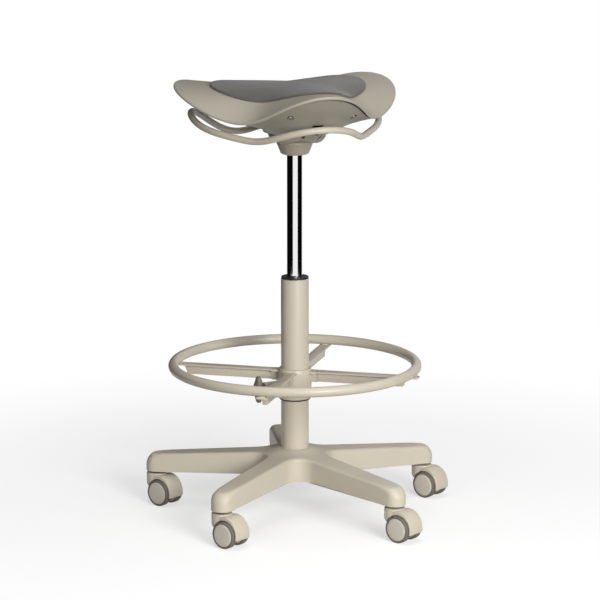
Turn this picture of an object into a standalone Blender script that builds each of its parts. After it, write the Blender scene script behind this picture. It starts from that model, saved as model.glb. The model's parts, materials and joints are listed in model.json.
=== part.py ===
"""Saddle stool: a three-lobed seat with a soft pad and an all-round release lever, on a
gas lift, with a sliding foot ring and a five-legged base on twin-wheel casters.

Metres, +Z up. The origin lies on the floor on the column's axis, and the seat's front
faces -Y. The lift is modelled fully raised, the lever and the clamp at rest.
"""

import math

import bmesh
import bpy
from mathutils import Matrix, Vector

# Gap between pieces that seat on each other, and steps in a turn of a round piece
FIT = 0.0003
ROUND_STEPS = 32
SMALL_STEPS = 12
WHEEL_STEPS = 18
HOOD_STEPS = 24

# Casters
WHEEL_DIAMETER = 0.048
DISC_DIAMETER = 0.0385
WHEEL_WIDTH = 0.0168
CASTER_WIDTH = 0.048
CASTER_TRAIL = 0.020
CASTER_HEADING = 300.0
DISC_DOME = 0.0016
TYRE_ROUND = 0.0022
HOOD_WALL = 0.003
HOOD_WIDTH = 0.035
HOOD_NECK = 0.0105
HOOD_BACK_ANGLE = -22.0
TYRE_GAP = 0.0014
NECK_DIAMETER = 0.037
WEB_BOSS_RADIUS = 0.013
AXLE_DIAMETER = 0.006
AXLE_COVER = 0.004
STEM_DIAMETER = 0.011
STEM_COLLAR_DIAMETER = 0.022
STEM_COLLAR_THICKNESS = 0.0027
STEM_IN_HOOD = 0.014
STEM_IN_LEG = 0.024

# Five-legged base
LEG_COUNT = 5
LEG_TURN = 4.7
CASTER_CIRCLE_RADIUS = 0.258
LEG_END_WIDTH = 0.038
LEG_ROOT_WIDTH = 0.050
LEG_ROOT_HEIGHT = 0.0495
LEG_TIP_HEIGHT = 0.0315
LEG_ARCH = 0.006
LEG_ROUND = 0.0145
LEG_WALL = 0.0035
LEG_ROOF = 0.009
LEG_RIB = 0.003
LEG_BAY_COUNT = 2
WEB_FILLET = 0.030
HUB_RADIUS = 0.045
HUB_HEIGHT = 0.0561
HUB_CROWN_FOOT_RADIUS = 0.060
HUB_CROWN_TOP_RADIUS = 0.029
HUB_BOSS_RADIUS = 0.036
HUB_BOSS_DROP = 0.004

# Gas lift
COLUMN_DIAMETER = 0.050
COLUMN_FOOT_DIAMETER = 0.047
COLUMN_WALL = 0.002
COLUMN_SHOWN = 0.3104
COLUMN_FLOOR = 0.003
COLUMN_LIFT_OFF_FLOOR = 0.006
BUSH_COLLAR_HEIGHT = 0.004
BUSH_COLLAR_DIAMETER = 0.049
BUSH_LENGTH = 0.085
CYLINDER_DIAMETER = 0.028
CYLINDER_WALL = 0.002
CYLINDER_SHOWN = 0.220
CYLINDER_GUIDED = 0.100
CYLINDER_END = 0.010
CYLINDER_TIP_DIAMETER = 0.0264
CYLINDER_PROUD = 0.001
ROD_DIAMETER = 0.010
PISTON_HEIGHT = 0.012
BEARING_DIAMETER = 0.026
BEARING_HEIGHT = 0.008
SHOULDER_DIAMETER = 0.016
SHOULDER_HEIGHT = 0.006
CLIP_DIAMETER = 0.018
CLIP_THICKNESS = 0.002
ROD_TAIL = 0.002
BUTTON_DIAMETER = 0.008
BUTTON_HEAD_DIAMETER = 0.012
BUTTON_HEAD_HEIGHT = 0.004
BUTTON_SHOWN = 0.006

# Foot ring
RING_DIAMETER = 0.4372
RING_TUBE_DIAMETER = 0.018
RING_ABOVE_BASE = 0.1520
RING_STEPS = 48
RING_TUBE_STEPS = 10
SPOKE_COUNT = 4
SPOKE_TURN = 55.0
SPOKE_WIDTH = 0.020
SPOKE_PLATE = 0.003
SPOKE_WEB_WIDTH = 0.008
SPOKE_WEB_HEIGHT = 0.016
SPOKE_WEB_SHORT = 0.012
SPOKE_WEB_SLANT = 0.012
SPOKE_SHEET = 0.002
SPOKE_TIP = 0.005
RING_HUB_DIAMETER = 0.060
RING_HUB_HEIGHT = 0.055
RING_HUB_LIP = 0.006
RING_HUB_TOP_DIAMETER = 0.0575
RING_HUB_FOOT_DIAMETER = 0.058
RING_HUB_ABOVE_SPOKES = 0.004
SPOKE_STUB = 0.012
SPOKE_STUB_MARGIN = 0.001
LINER_WALL = 0.0022
LINER_FLANGE = 0.002

# Foot ring clamp
CLAMP_TURN = 188.0
CLAMP_BELOW_SPOKES = 0.029
CLAMP_BOSS_DIAMETER = 0.024
CLAMP_BOSS_REACH = 0.064
KNOB_LENGTH = 0.048
KNOB_WIDTH = 0.024
KNOB_TIP_WIDTH = 0.009
KNOB_THICKNESS = 0.016
KNOB_ROUND = 0.003
KNOB_GAP = 0.0015
KNOB_CAP = 0.004
CLAMP_SCREW_DIAMETER = 0.008
CLAMP_PAD_DIAMETER = 0.011
CLAMP_PAD_THICKNESS = 0.003
CLAMP_PAD_TRAVEL = 0.004

# Mechanism under the seat
CUP_HEIGHT = 0.0205
CUP_FOOT_DIAMETER = 0.051
CUP_TOP_DIAMETER = 0.061
CUP_ROUND = 0.004
BOX_LEFT = 0.044
BOX_RIGHT = 0.052
BOX_DEPTH = 0.072
BOX_HEIGHT = 0.0225
BOX_ROUND = 0.015
LEVER_PIVOT_FORWARD = 0.040
CHEEK_THICKNESS = 0.005
CHEEK_LENGTH = 0.012
PIN_DIAMETER = 0.006
YOKE_WIDTH = 0.016
YOKE_THICKNESS = 0.008
YOKE_BEHIND_BUTTON = 0.010

# Seat. Each set of four holds the front, thigh, wing and rear values, which stand at
# 0, 60, 120 and 180 degrees from the seat's front.
SEAT_STEPS = 42
SEAT_REACH = (0.173, 0.149, 0.2135, 0.128)
SEAT_RISE = (-0.0001, -0.0510, 0.0058, -0.0443)
SEAT_CURVE = 3.0
SEAT_DEPTH = 0.0778
SHELL_THICKNESS = 0.005
PAD_REACH = (0.1250, 0.1065, 0.1490, 0.085)
PAD_EDGE = 0.004
PAD_CROWN = 0.003
PAN_INSET = 0.014
PAN_WALL = 0.003
PAN_FLOOR_REACH = (0.080, 0.058, 0.056, 0.056)
PAN_HOLE_RADIUS = 0.050
PAN_BOW = (1.0, 0.48, 0.63, 0.7)
SLOT_MARGIN = 0.002
SLOT_LIFT = 0.0055
LOOP_REACH = (0.1537, 0.1252, 0.1862, 0.1404)
LOOP_ABOVE_BOX = (0.0201, -0.0058, 0.0285, -0.0081)
LOOP_REAR_DIP = 0.0261
LOOP_TUBE_DIAMETER = 0.012
LOOP_POINTS = 54

# Heights of the main seats, from the floor up
AXLE_Z = WHEEL_DIAMETER / 2
HOOD_TOP_Z = WHEEL_DIAMETER + HOOD_NECK
LEG_Z = HOOD_TOP_Z + STEM_COLLAR_THICKNESS + 2 * FIT
HUB_TOP_Z = LEG_Z + HUB_HEIGHT
COLUMN_Z = LEG_Z + COLUMN_LIFT_OFF_FLOOR
COLUMN_TOP_Z = HUB_TOP_Z + COLUMN_SHOWN
BUSH_TOP_Z = COLUMN_TOP_Z + BUSH_COLLAR_HEIGHT
CUP_Z = BUSH_TOP_Z + CYLINDER_SHOWN
BOX_Z = CUP_Z + CUP_HEIGHT
BOX_TOP_Z = BOX_Z + BOX_HEIGHT
CYLINDER_TOP_Z = BOX_TOP_Z + CYLINDER_PROUD
CYLINDER_Z = COLUMN_TOP_Z - CYLINDER_GUIDED
BEARING_Z = COLUMN_Z + COLUMN_FLOOR + FIT
YOKE_Z = CYLINDER_TOP_Z + BUTTON_SHOWN + FIT
PIVOT_Z = YOKE_Z + YOKE_THICKNESS / 2
RING_Z = HUB_TOP_Z + RING_ABOVE_BASE
SPOKE_TOP_Z = RING_Z - RING_TUBE_DIAMETER / 2 - FIT
RING_HUB_TOP_Z = SPOKE_TOP_Z + RING_HUB_ABOVE_SPOKES
RING_HUB_Z = RING_HUB_TOP_Z - RING_HUB_HEIGHT
CLAMP_Z = SPOKE_TOP_Z - CLAMP_BELOW_SPOKES
SHELL_Z = BOX_TOP_Z + SEAT_DEPTH

for old_object in list(bpy.data.objects):
    bpy.data.objects.remove(old_object)

parts = bpy.data.collections.new("saddle_stool")
cutters = bpy.data.collections.new("cutters")
bpy.context.scene.collection.children.link(parts)
bpy.context.scene.collection.children.link(cutters)


def finish(name, colour, roughness, metallic=0.0):
    """A plain material with the piece's own colour."""
    material = bpy.data.materials.new(name)
    material.use_nodes = True
    shader = material.node_tree.nodes["Principled BSDF"]
    shader.inputs["Base Color"].default_value = (*colour, 1.0)
    shader.inputs["Roughness"].default_value = roughness
    shader.inputs["Metallic"].default_value = metallic
    return material


GREIGE_PLASTIC = finish("greige_plastic", (0.56, 0.50, 0.41), 0.45)
GREIGE_PAINT = finish("greige_paint", (0.56, 0.50, 0.41), 0.35)
SHADE_PLASTIC = finish("shade_plastic", (0.36, 0.33, 0.27), 0.5)
KNOB_PLASTIC = finish("knob_plastic", (0.16, 0.155, 0.125), 0.5)
TYRE_RUBBER = finish("tyre_rubber", (0.18, 0.165, 0.13), 0.7)
BLACK_PLASTIC = finish("black_plastic", (0.012, 0.012, 0.012), 0.4)
CHROME = finish("chrome", (0.75, 0.75, 0.76), 0.08, 1.0)
STEEL = finish("steel", (0.42, 0.42, 0.43), 0.3, 1.0)
PAD_CLOTH = finish("pad_cloth", (0.16, 0.155, 0.145), 0.85)


def smooth(mesh):
    """Smooth shading that keeps true edges sharp."""
    mesh.shade_smooth()
    mesh.set_sharp_from_angle(angle=math.radians(35))


def piece(name, mesh, material, parent=None, at=(0, 0, 0), turn=0.0):
    """Puts a mesh in the stool as one named piece."""
    mesh.materials.clear()
    mesh.materials.append(material)
    obj = bpy.data.objects.new(name, mesh)
    obj.location = at
    obj.rotation_euler = (0, 0, turn)
    obj.parent = parent
    parts.objects.link(obj)
    return obj


def frame(name, at, turn=0.0, parent=None):
    """An empty on a joint's axis, which carries the pieces that move with it."""
    empty = bpy.data.objects.new(name, None)
    empty.location = at
    empty.rotation_euler = (0, 0, turn)
    empty.parent = parent
    parts.objects.link(empty)
    return empty


def solid_mesh(name, shape):
    """Turns a bmesh into a mesh with its faces pointing out."""
    bmesh.ops.recalc_face_normals(shape, faces=shape.faces)
    mesh = bpy.data.meshes.new(name)
    shape.to_mesh(mesh)
    shape.free()
    smooth(mesh)
    return mesh


def turned(name, profile, steps=ROUND_STEPS, hollow=False):
    """A profile of (radius, height) points, top to bottom outside, turned about Z."""
    mesh = bpy.data.meshes.new(name)
    points = [(radius, 0.0, height) for radius, height in profile]
    edges = [(i, i + 1) for i in range(len(points) - 1)]
    if hollow:
        edges.append((len(points) - 1, 0))
    mesh.from_pydata(points, edges, [])
    obj = bpy.data.objects.new(name, mesh)
    parts.objects.link(obj)
    screw = obj.modifiers.new("turn", "SCREW")
    screw.steps = steps
    screw.render_steps = steps
    screw.use_merge_vertices = True
    screw.merge_threshold = 0.00001
    return baked(obj)


def baked(obj):
    """The mesh of an object with its modifiers applied. The object is removed."""
    graph = bpy.context.evaluated_depsgraph_get()
    mesh = bpy.data.meshes.new_from_object(obj.evaluated_get(graph))
    name = obj.name
    bpy.data.objects.remove(obj)
    mesh.name = name
    smooth(mesh)
    return mesh


def shaped(name, mesh, steps):
    """Joins or cuts a mesh with a list of (operation, bmesh) steps."""
    obj = bpy.data.objects.new(name, mesh)
    parts.objects.link(obj)
    for operation, shape in steps:
        tool = bpy.data.objects.new(name + "_tool", solid_mesh(name + "_tool", shape))
        tool.hide_render = True
        tool.display_type = "WIRE"
        cutters.objects.link(tool)
        boolean = obj.modifiers.new(operation.lower(), "BOOLEAN")
        boolean.operation = operation
        boolean.object = tool
    result = baked(obj)
    for tool in list(cutters.objects):
        bpy.data.objects.remove(tool)
    return result


def add_box(shape, low, high, matrix=Matrix()):
    """A box between two corners."""
    low = Vector(low)
    high = Vector(high)
    size = Matrix.Diagonal((*(high - low), 1.0))
    place = Matrix.Translation((low + high) / 2)
    return bmesh.ops.create_cube(shape, size=1.0, matrix=matrix @ place @ size)["verts"]


def add_rod(shape, radius, start, end, matrix=Matrix(), steps=SMALL_STEPS, end_radius=None):
    """A round bar along local Z between two heights."""
    place = Matrix.Translation((0, 0, (start + end) / 2))
    top_radius = radius if end_radius is None else end_radius
    return bmesh.ops.create_cone(
        shape, cap_ends=True, segments=steps, radius1=radius, radius2=top_radius,
        depth=end - start, matrix=matrix @ place)["verts"]


def along_y():
    """Turns local Z to +Y."""
    return Matrix.Rotation(math.radians(-90), 4, "X")


def along_x():
    """Turns local Z to +X."""
    return Matrix.Rotation(math.radians(90), 4, "Y")


def about_z(degrees):
    return Matrix.Rotation(math.radians(degrees), 4, "Z")


def arc(centre, radius, start, end, count):
    """Points on an arc in a plane, angles in degrees."""
    points = []
    for i in range(count + 1):
        angle = math.radians(start + (end - start) * i / count)
        points.append((centre[0] + radius * math.cos(angle), centre[1] + radius * math.sin(angle)))
    return points


def plate(points, low, high):
    """A bmesh prism over an outline of (x, y) points, between two heights."""
    shape = bmesh.new()
    rim = [shape.verts.new((x, y, low)) for x, y in points]
    face = shape.faces.new(rim)
    top = bmesh.ops.extrude_face_region(shape, geom=[face])
    lifted = [v for v in top["geom"] if isinstance(v, bmesh.types.BMVert)]
    bmesh.ops.translate(shape, verts=lifted, vec=(0, 0, high - low))
    return shape


# Casters: one set of meshes, shared by the five
def tyre_mesh():
    """A rubber tread ring about Y, with a flat of its facets at the floor."""
    outer = WHEEL_DIAMETER / 2 / math.cos(math.pi / WHEEL_STEPS)
    inner = DISC_DIAMETER / 2 + FIT
    half = (WHEEL_WIDTH - 2 * DISC_DOME) / 2
    profile = [
        (inner, half), (outer - TYRE_ROUND, half), (outer, half - TYRE_ROUND),
        (outer, TYRE_ROUND - half), (outer - TYRE_ROUND, -half), (inner, -half)]
    mesh = turned("tyre", profile, WHEEL_STEPS, hollow=True)
    mesh.transform(along_y() @ about_z(90 + 180 / WHEEL_STEPS))
    return mesh


def wheel_core_mesh():
    """A wheel body about Y with a domed outer disc at +Y and a blind axle bore."""
    radius = DISC_DIAMETER / 2
    half = WHEEL_WIDTH / 2
    bore = AXLE_DIAMETER / 2 + FIT
    profile = [
        (0, half), (radius * 0.75, half - DISC_DOME * 0.4), (radius, half - 2 * DISC_DOME),
        (radius, -half + DISC_DOME), (2 * bore, -half), (bore, -half), (bore, half - AXLE_COVER),
        (0, half - AXLE_COVER)]
    mesh = turned("wheel_core", profile, WHEEL_STEPS)
    mesh.transform(along_y() @ about_z(90 + 180 / WHEEL_STEPS))
    return mesh


def hood_mesh():
    """The caster's body: a web between the wheels, a hood over them and a round neck."""
    well = WHEEL_DIAMETER / 2 / math.cos(math.pi / WHEEL_STEPS) + TYRE_GAP
    outer = well + HOOD_WALL
    axle = (CASTER_TRAIL, AXLE_Z)
    neck = NECK_DIAMETER / 2
    web_half = CASTER_WIDTH / 2 - WHEEL_WIDTH - 2 * FIT
    outline = arc(axle, outer, HOOD_BACK_ANGLE, 105, 9)
    outline += [(-neck / 2, HOOD_TOP_Z - 2 * HOOD_WALL), (-neck / 2, AXLE_Z + WEB_BOSS_RADIUS)]
    outline += arc(axle, WEB_BOSS_RADIUS, 190, 290, 4)
    shape = plate(outline, -HOOD_WIDTH / 2, HOOD_WIDTH / 2)
    bmesh.ops.transform(shape, matrix=Matrix.Rotation(math.radians(90), 4, "X"), verts=shape.verts)
    body = solid_mesh("hood", shape)
    neck_rod = bmesh.new()
    add_rod(neck_rod, neck, AXLE_Z + WEB_BOSS_RADIUS + FIT, HOOD_TOP_Z, steps=HOOD_STEPS)
    wells = bmesh.new()
    at_axle = Matrix.Translation((CASTER_TRAIL, 0, AXLE_Z)) @ along_y()
    add_rod(wells, well, web_half, HOOD_WIDTH, at_axle, HOOD_STEPS)
    add_rod(wells, well, -HOOD_WIDTH, -web_half, at_axle, HOOD_STEPS)
    axle_bore = bmesh.new()
    add_rod(axle_bore, AXLE_DIAMETER / 2 + FIT, -HOOD_WIDTH, HOOD_WIDTH, at_axle)
    stem_bore = bmesh.new()
    stem_foot = HOOD_TOP_Z - STEM_IN_HOOD - FIT
    add_rod(stem_bore, STEM_DIAMETER / 2 + FIT, stem_foot, HOOD_TOP_Z + HOOD_WALL)
    return shaped("hood", body, [
        ("UNION", neck_rod), ("DIFFERENCE", wells), ("DIFFERENCE", axle_bore), ("DIFFERENCE", stem_bore)])


def stem_mesh():
    """A plain steel pin with a collar between the hood and the leg."""
    pin = STEM_DIAMETER / 2
    collar = STEM_COLLAR_DIAMETER / 2
    top = LEG_Z + STEM_IN_LEG
    collar_low = HOOD_TOP_Z + FIT
    collar_top = collar_low + STEM_COLLAR_THICKNESS
    foot = HOOD_TOP_Z - STEM_IN_HOOD
    chamfer = pin / 5
    return turned("stem", [
        (0, top), (pin - chamfer, top), (pin, top - chamfer), (pin, collar_top), (collar, collar_top),
        (collar, collar_low), (pin, collar_low), (pin, foot), (0, foot)], SMALL_STEPS)


def axle_mesh():
    """The pin through the web, blind in both wheels."""
    half = CASTER_WIDTH / 2 - AXLE_COVER - FIT
    mesh = turned("axle", [
        (0, half), (AXLE_DIAMETER / 2, half), (AXLE_DIAMETER / 2, -half), (0, -half)], SMALL_STEPS)
    mesh.transform(along_y())
    return mesh


def casters():
    hood = hood_mesh()
    stem = stem_mesh()
    axle = axle_mesh()
    core = wheel_core_mesh()
    tyre = tyre_mesh()
    wheel_middle = (CASTER_WIDTH - WHEEL_WIDTH) / 2
    for number in range(LEG_COUNT):
        angle = math.radians(LEG_TURN + 360 / LEG_COUNT * number)
        at = (CASTER_CIRCLE_RADIUS * math.cos(angle), CASTER_CIRCLE_RADIUS * math.sin(angle), 0)
        label = f"caster_{number + 1}"
        piece(f"{label}_stem", stem, STEEL, at=at)
        swivel = frame(f"{label}_swivel", at, math.radians(CASTER_HEADING))
        piece(f"{label}_hood", hood, GREIGE_PLASTIC, swivel)
        piece(f"{label}_axle", axle, STEEL, swivel, (CASTER_TRAIL, 0, AXLE_Z))
        for side, sign in (("left", 1), ("right", -1)):
            turn = 0.0 if sign > 0 else math.pi
            wheel = frame(f"{label}_{side}_roll", (CASTER_TRAIL, sign * wheel_middle, AXLE_Z), turn, swivel)
            piece(f"{label}_{side}_wheel", core, GREIGE_PLASTIC, wheel)
            piece(f"{label}_{side}_tyre", tyre, TYRE_RUBBER, wheel)


# Five-legged base
def leg_taper():
    """The angle by which each side of a leg narrows towards its end."""
    return math.atan((LEG_ROOT_WIDTH - LEG_END_WIDTH) / 2 / (CASTER_CIRCLE_RADIUS - HUB_RADIUS))


def leg_half_width(reach):
    return LEG_END_WIDTH / 2 + (CASTER_CIRCLE_RADIUS - reach) * math.tan(leg_taper())


def along_leg(point):
    """A point's distance from the column's axis, along the leg that it is nearest to."""
    step = 2 * math.pi / LEG_COUNT
    angle = math.atan2(point.y, point.x) - math.radians(LEG_TURN)
    return point.xy.length * math.cos((angle + step / 2) % step - step / 2)


def leg_height(reach):
    """Height of a leg's top over its end's underside, falling evenly from the hub to the end."""
    run = CASTER_CIRCLE_RADIUS + LEG_END_WIDTH / 2 - HUB_RADIUS
    share = min(max((reach - HUB_RADIUS) / run, 0.0), 1.0)
    return LEG_ROOT_HEIGHT + (LEG_TIP_HEIGHT - LEG_ROOT_HEIGHT) * share


def star_outline():
    """Round leg ends joined by concave fillets, all as arcs."""
    taper = math.degrees(leg_taper())
    half_step = 180 / LEG_COUNT
    end_radius = LEG_END_WIDTH / 2
    reach_part = CASTER_CIRCLE_RADIUS * math.sin(leg_taper())
    fillet_reach = (WEB_FILLET + end_radius + reach_part) / math.sin(math.radians(half_step + taper))
    points = []
    for number in range(LEG_COUNT):
        turn = LEG_TURN + 2 * half_step * number
        end = Vector((CASTER_CIRCLE_RADIUS, 0))
        end.rotate(Matrix.Rotation(math.radians(turn), 2))
        points += arc(end, end_radius, turn - 90 + taper, turn + 90 - taper, 6)
        web = Vector((fillet_reach, 0))
        web.rotate(Matrix.Rotation(math.radians(turn + half_step), 2))
        points += arc(web, WEB_FILLET, turn + 270 - taper, turn + 2 * half_step - 270 + taper + 360, 6)
    return points


def five_star_base():
    shape = plate(star_outline(), LEG_Z, HUB_TOP_Z)
    top_edges = [e for e in shape.edges if min(v.co.z for v in e.verts) > LEG_Z + HUB_HEIGHT / 2]
    bmesh.ops.bevel(
        shape, geom=top_edges, offset=LEG_ROUND, offset_type="OFFSET", segments=3, profile=0.5,
        affect="EDGES", material=-1)
    bmesh.ops.triangulate(shape, faces=shape.faces)
    for vertex in shape.verts:
        reach = along_leg(vertex.co)
        share = (vertex.co.z - LEG_Z) / HUB_HEIGHT
        if share > 0.5:
            vertex.co.z = LEG_Z + share * leg_height(reach)
        elif reach < CASTER_CIRCLE_RADIUS / 2:
            vertex.co.z += LEG_ARCH
    star = solid_mesh("five_star_base", shape)
    boss = bmesh.new()
    boss_top = LEG_Z + LEG_ARCH + HUB_BOSS_DROP
    add_rod(boss, HUB_BOSS_RADIUS, LEG_Z - HUB_BOSS_DROP, boss_top, steps=ROUND_STEPS)
    crown_low = 2 * LEG_ROOT_HEIGHT - HUB_HEIGHT
    add_rod(
        boss, HUB_CROWN_FOOT_RADIUS, LEG_Z + crown_low, HUB_TOP_Z, steps=ROUND_STEPS,
        end_radius=HUB_CROWN_TOP_RADIUS)
    bores = bmesh.new()
    foot_radius = COLUMN_FOOT_DIAMETER / 2 + FIT
    slope = (COLUMN_DIAMETER - COLUMN_FOOT_DIAMETER) / 2 / (HUB_TOP_Z - COLUMN_Z)
    below = COLUMN_Z - LEG_Z + 2 * HUB_BOSS_DROP
    add_rod(
        bores, foot_radius - slope * below, COLUMN_Z - below, HUB_TOP_Z + below,
        steps=ROUND_STEPS, end_radius=COLUMN_DIAMETER / 2 + FIT + slope * below)
    bay_start = HUB_RADIUS + LEG_WALL
    bay_end = CASTER_CIRCLE_RADIUS - STEM_DIAMETER / 2 - 2 * LEG_WALL
    bay_length = (bay_end - bay_start + LEG_RIB) / LEG_BAY_COUNT
    for number in range(LEG_COUNT):
        leg = about_z(LEG_TURN + 360 / LEG_COUNT * number)
        socket = leg @ Matrix.Translation((CASTER_CIRCLE_RADIUS, 0, 0))
        add_rod(bores, STEM_DIAMETER / 2 + FIT, LEG_Z - LEG_WALL, LEG_Z + STEM_IN_LEG + FIT, socket)
        for bay in range(LEG_BAY_COUNT):
            near = bay_start + bay_length * bay
            far = near + bay_length - LEG_RIB
            for side in (1, -1):
                corners = add_box(bores, (near, 0, LEG_Z - LEG_WALL), (far, 1, LEG_Z + LEG_WALL))
                for vertex in corners:
                    reach = vertex.co.x
                    if vertex.co.z > LEG_Z:
                        vertex.co.z = LEG_Z + leg_height(reach) - LEG_ROOF
                    inner = LEG_RIB / 2
                    outer = leg_half_width(reach) - LEG_WALL
                    vertex.co.y = side * (outer if vertex.co.y > 0.5 else inner)
                bmesh.ops.transform(bores, matrix=leg, verts=corners)
    mesh = shaped("five_star_base", star, [("UNION", boss), ("DIFFERENCE", bores)])
    piece("five_star_base", mesh, GREIGE_PLASTIC)


# Gas lift
def gas_lift():
    outer = COLUMN_DIAMETER / 2
    foot = COLUMN_FOOT_DIAMETER / 2
    hole = ROD_DIAMETER / 2 + FIT
    bore = CYLINDER_DIAMETER / 2 + FIT
    floor_z = COLUMN_Z + COLUMN_FLOOR
    column = turned("column_tube", [
        (outer, COLUMN_TOP_Z), (outer, HUB_TOP_Z), (foot, COLUMN_Z), (hole, COLUMN_Z), (hole, floor_z),
        (foot - COLUMN_WALL, floor_z), (outer - COLUMN_WALL, HUB_TOP_Z),
        (outer - COLUMN_WALL, COLUMN_TOP_Z)], hollow=True)
    piece("column_tube", column, GREIGE_PAINT)

    collar = BUSH_COLLAR_DIAMETER / 2
    sleeve = outer - COLUMN_WALL - FIT
    bush = turned("guide_bush", [
        (collar - BUSH_COLLAR_HEIGHT / 4, BUSH_TOP_Z), (collar, BUSH_TOP_Z - BUSH_COLLAR_HEIGHT / 4),
        (collar, COLUMN_TOP_Z + FIT), (sleeve, COLUMN_TOP_Z + FIT), (sleeve, COLUMN_TOP_Z - BUSH_LENGTH),
        (bore, COLUMN_TOP_Z - BUSH_LENGTH), (bore, BUSH_TOP_Z)], hollow=True)
    piece("guide_bush", bush, BLACK_PLASTIC)

    bearing = turned("thrust_bearing", [
        (BEARING_DIAMETER / 2, BEARING_Z + BEARING_HEIGHT), (BEARING_DIAMETER / 2, BEARING_Z),
        (hole, BEARING_Z), (hole, BEARING_Z + BEARING_HEIGHT)], SMALL_STEPS, hollow=True)
    piece("thrust_bearing", bearing, STEEL)

    swivel = frame("lift_swivel", (0, 0, 0))
    rod = ROD_DIAMETER / 2
    shoulder_z = BEARING_Z + BEARING_HEIGHT + FIT
    piston_z = CYLINDER_Z + CYLINDER_END + FIT
    piston = CYLINDER_DIAMETER / 2 - CYLINDER_WALL - FIT
    tail_z = COLUMN_Z - CLIP_THICKNESS - 2 * FIT - ROD_TAIL
    rod_mesh = turned("piston_rod", [
        (0, piston_z + PISTON_HEIGHT), (piston, piston_z + PISTON_HEIGHT), (piston, piston_z),
        (rod, piston_z), (rod, shoulder_z + SHOULDER_HEIGHT),
        (SHOULDER_DIAMETER / 2, shoulder_z + SHOULDER_HEIGHT), (SHOULDER_DIAMETER / 2, shoulder_z),
        (rod, shoulder_z), (rod, tail_z), (0, tail_z)], SMALL_STEPS)
    piece("piston_rod", rod_mesh, STEEL, swivel)
    clip_top = COLUMN_Z - FIT
    clip = turned("retaining_clip", [
        (CLIP_DIAMETER / 2, clip_top), (CLIP_DIAMETER / 2, clip_top - CLIP_THICKNESS),
        (hole, clip_top - CLIP_THICKNESS), (hole, clip_top)], SMALL_STEPS, hollow=True)
    piece("retaining_clip", clip, STEEL, swivel)

    slide = frame("lift_slide", (0, 0, 0), parent=swivel)
    skin = CYLINDER_DIAMETER / 2
    chamber = skin - CYLINDER_WALL
    tip = CYLINDER_TIP_DIAMETER / 2
    button_hole = BUTTON_DIAMETER / 2 + FIT
    cylinder = turned("pressure_cylinder", [
        (tip, CYLINDER_TOP_Z), (skin, CUP_Z), (skin, CYLINDER_Z), (hole, CYLINDER_Z),
        (hole, CYLINDER_Z + CYLINDER_END), (chamber, CYLINDER_Z + CYLINDER_END),
        (chamber, CUP_Z - CYLINDER_END), (tip - CYLINDER_WALL, CYLINDER_TOP_Z - CYLINDER_END),
        (button_hole, CYLINDER_TOP_Z - CYLINDER_END), (button_hole, CYLINDER_TOP_Z)],
        hollow=True)
    piece("pressure_cylinder", cylinder, CHROME, slide)

    button_top = CYLINDER_TOP_Z + BUTTON_SHOWN
    head_top = CYLINDER_TOP_Z - CYLINDER_END - FIT
    button = turned("valve_button", [
        (0, button_top), (BUTTON_DIAMETER / 2, button_top), (BUTTON_DIAMETER / 2, head_top),
        (BUTTON_HEAD_DIAMETER / 2, head_top), (BUTTON_HEAD_DIAMETER / 2, head_top - BUTTON_HEAD_HEIGHT),
        (0, head_top - BUTTON_HEAD_HEIGHT)], SMALL_STEPS)
    piece("valve_button", button, STEEL, slide)
    return slide


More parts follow.
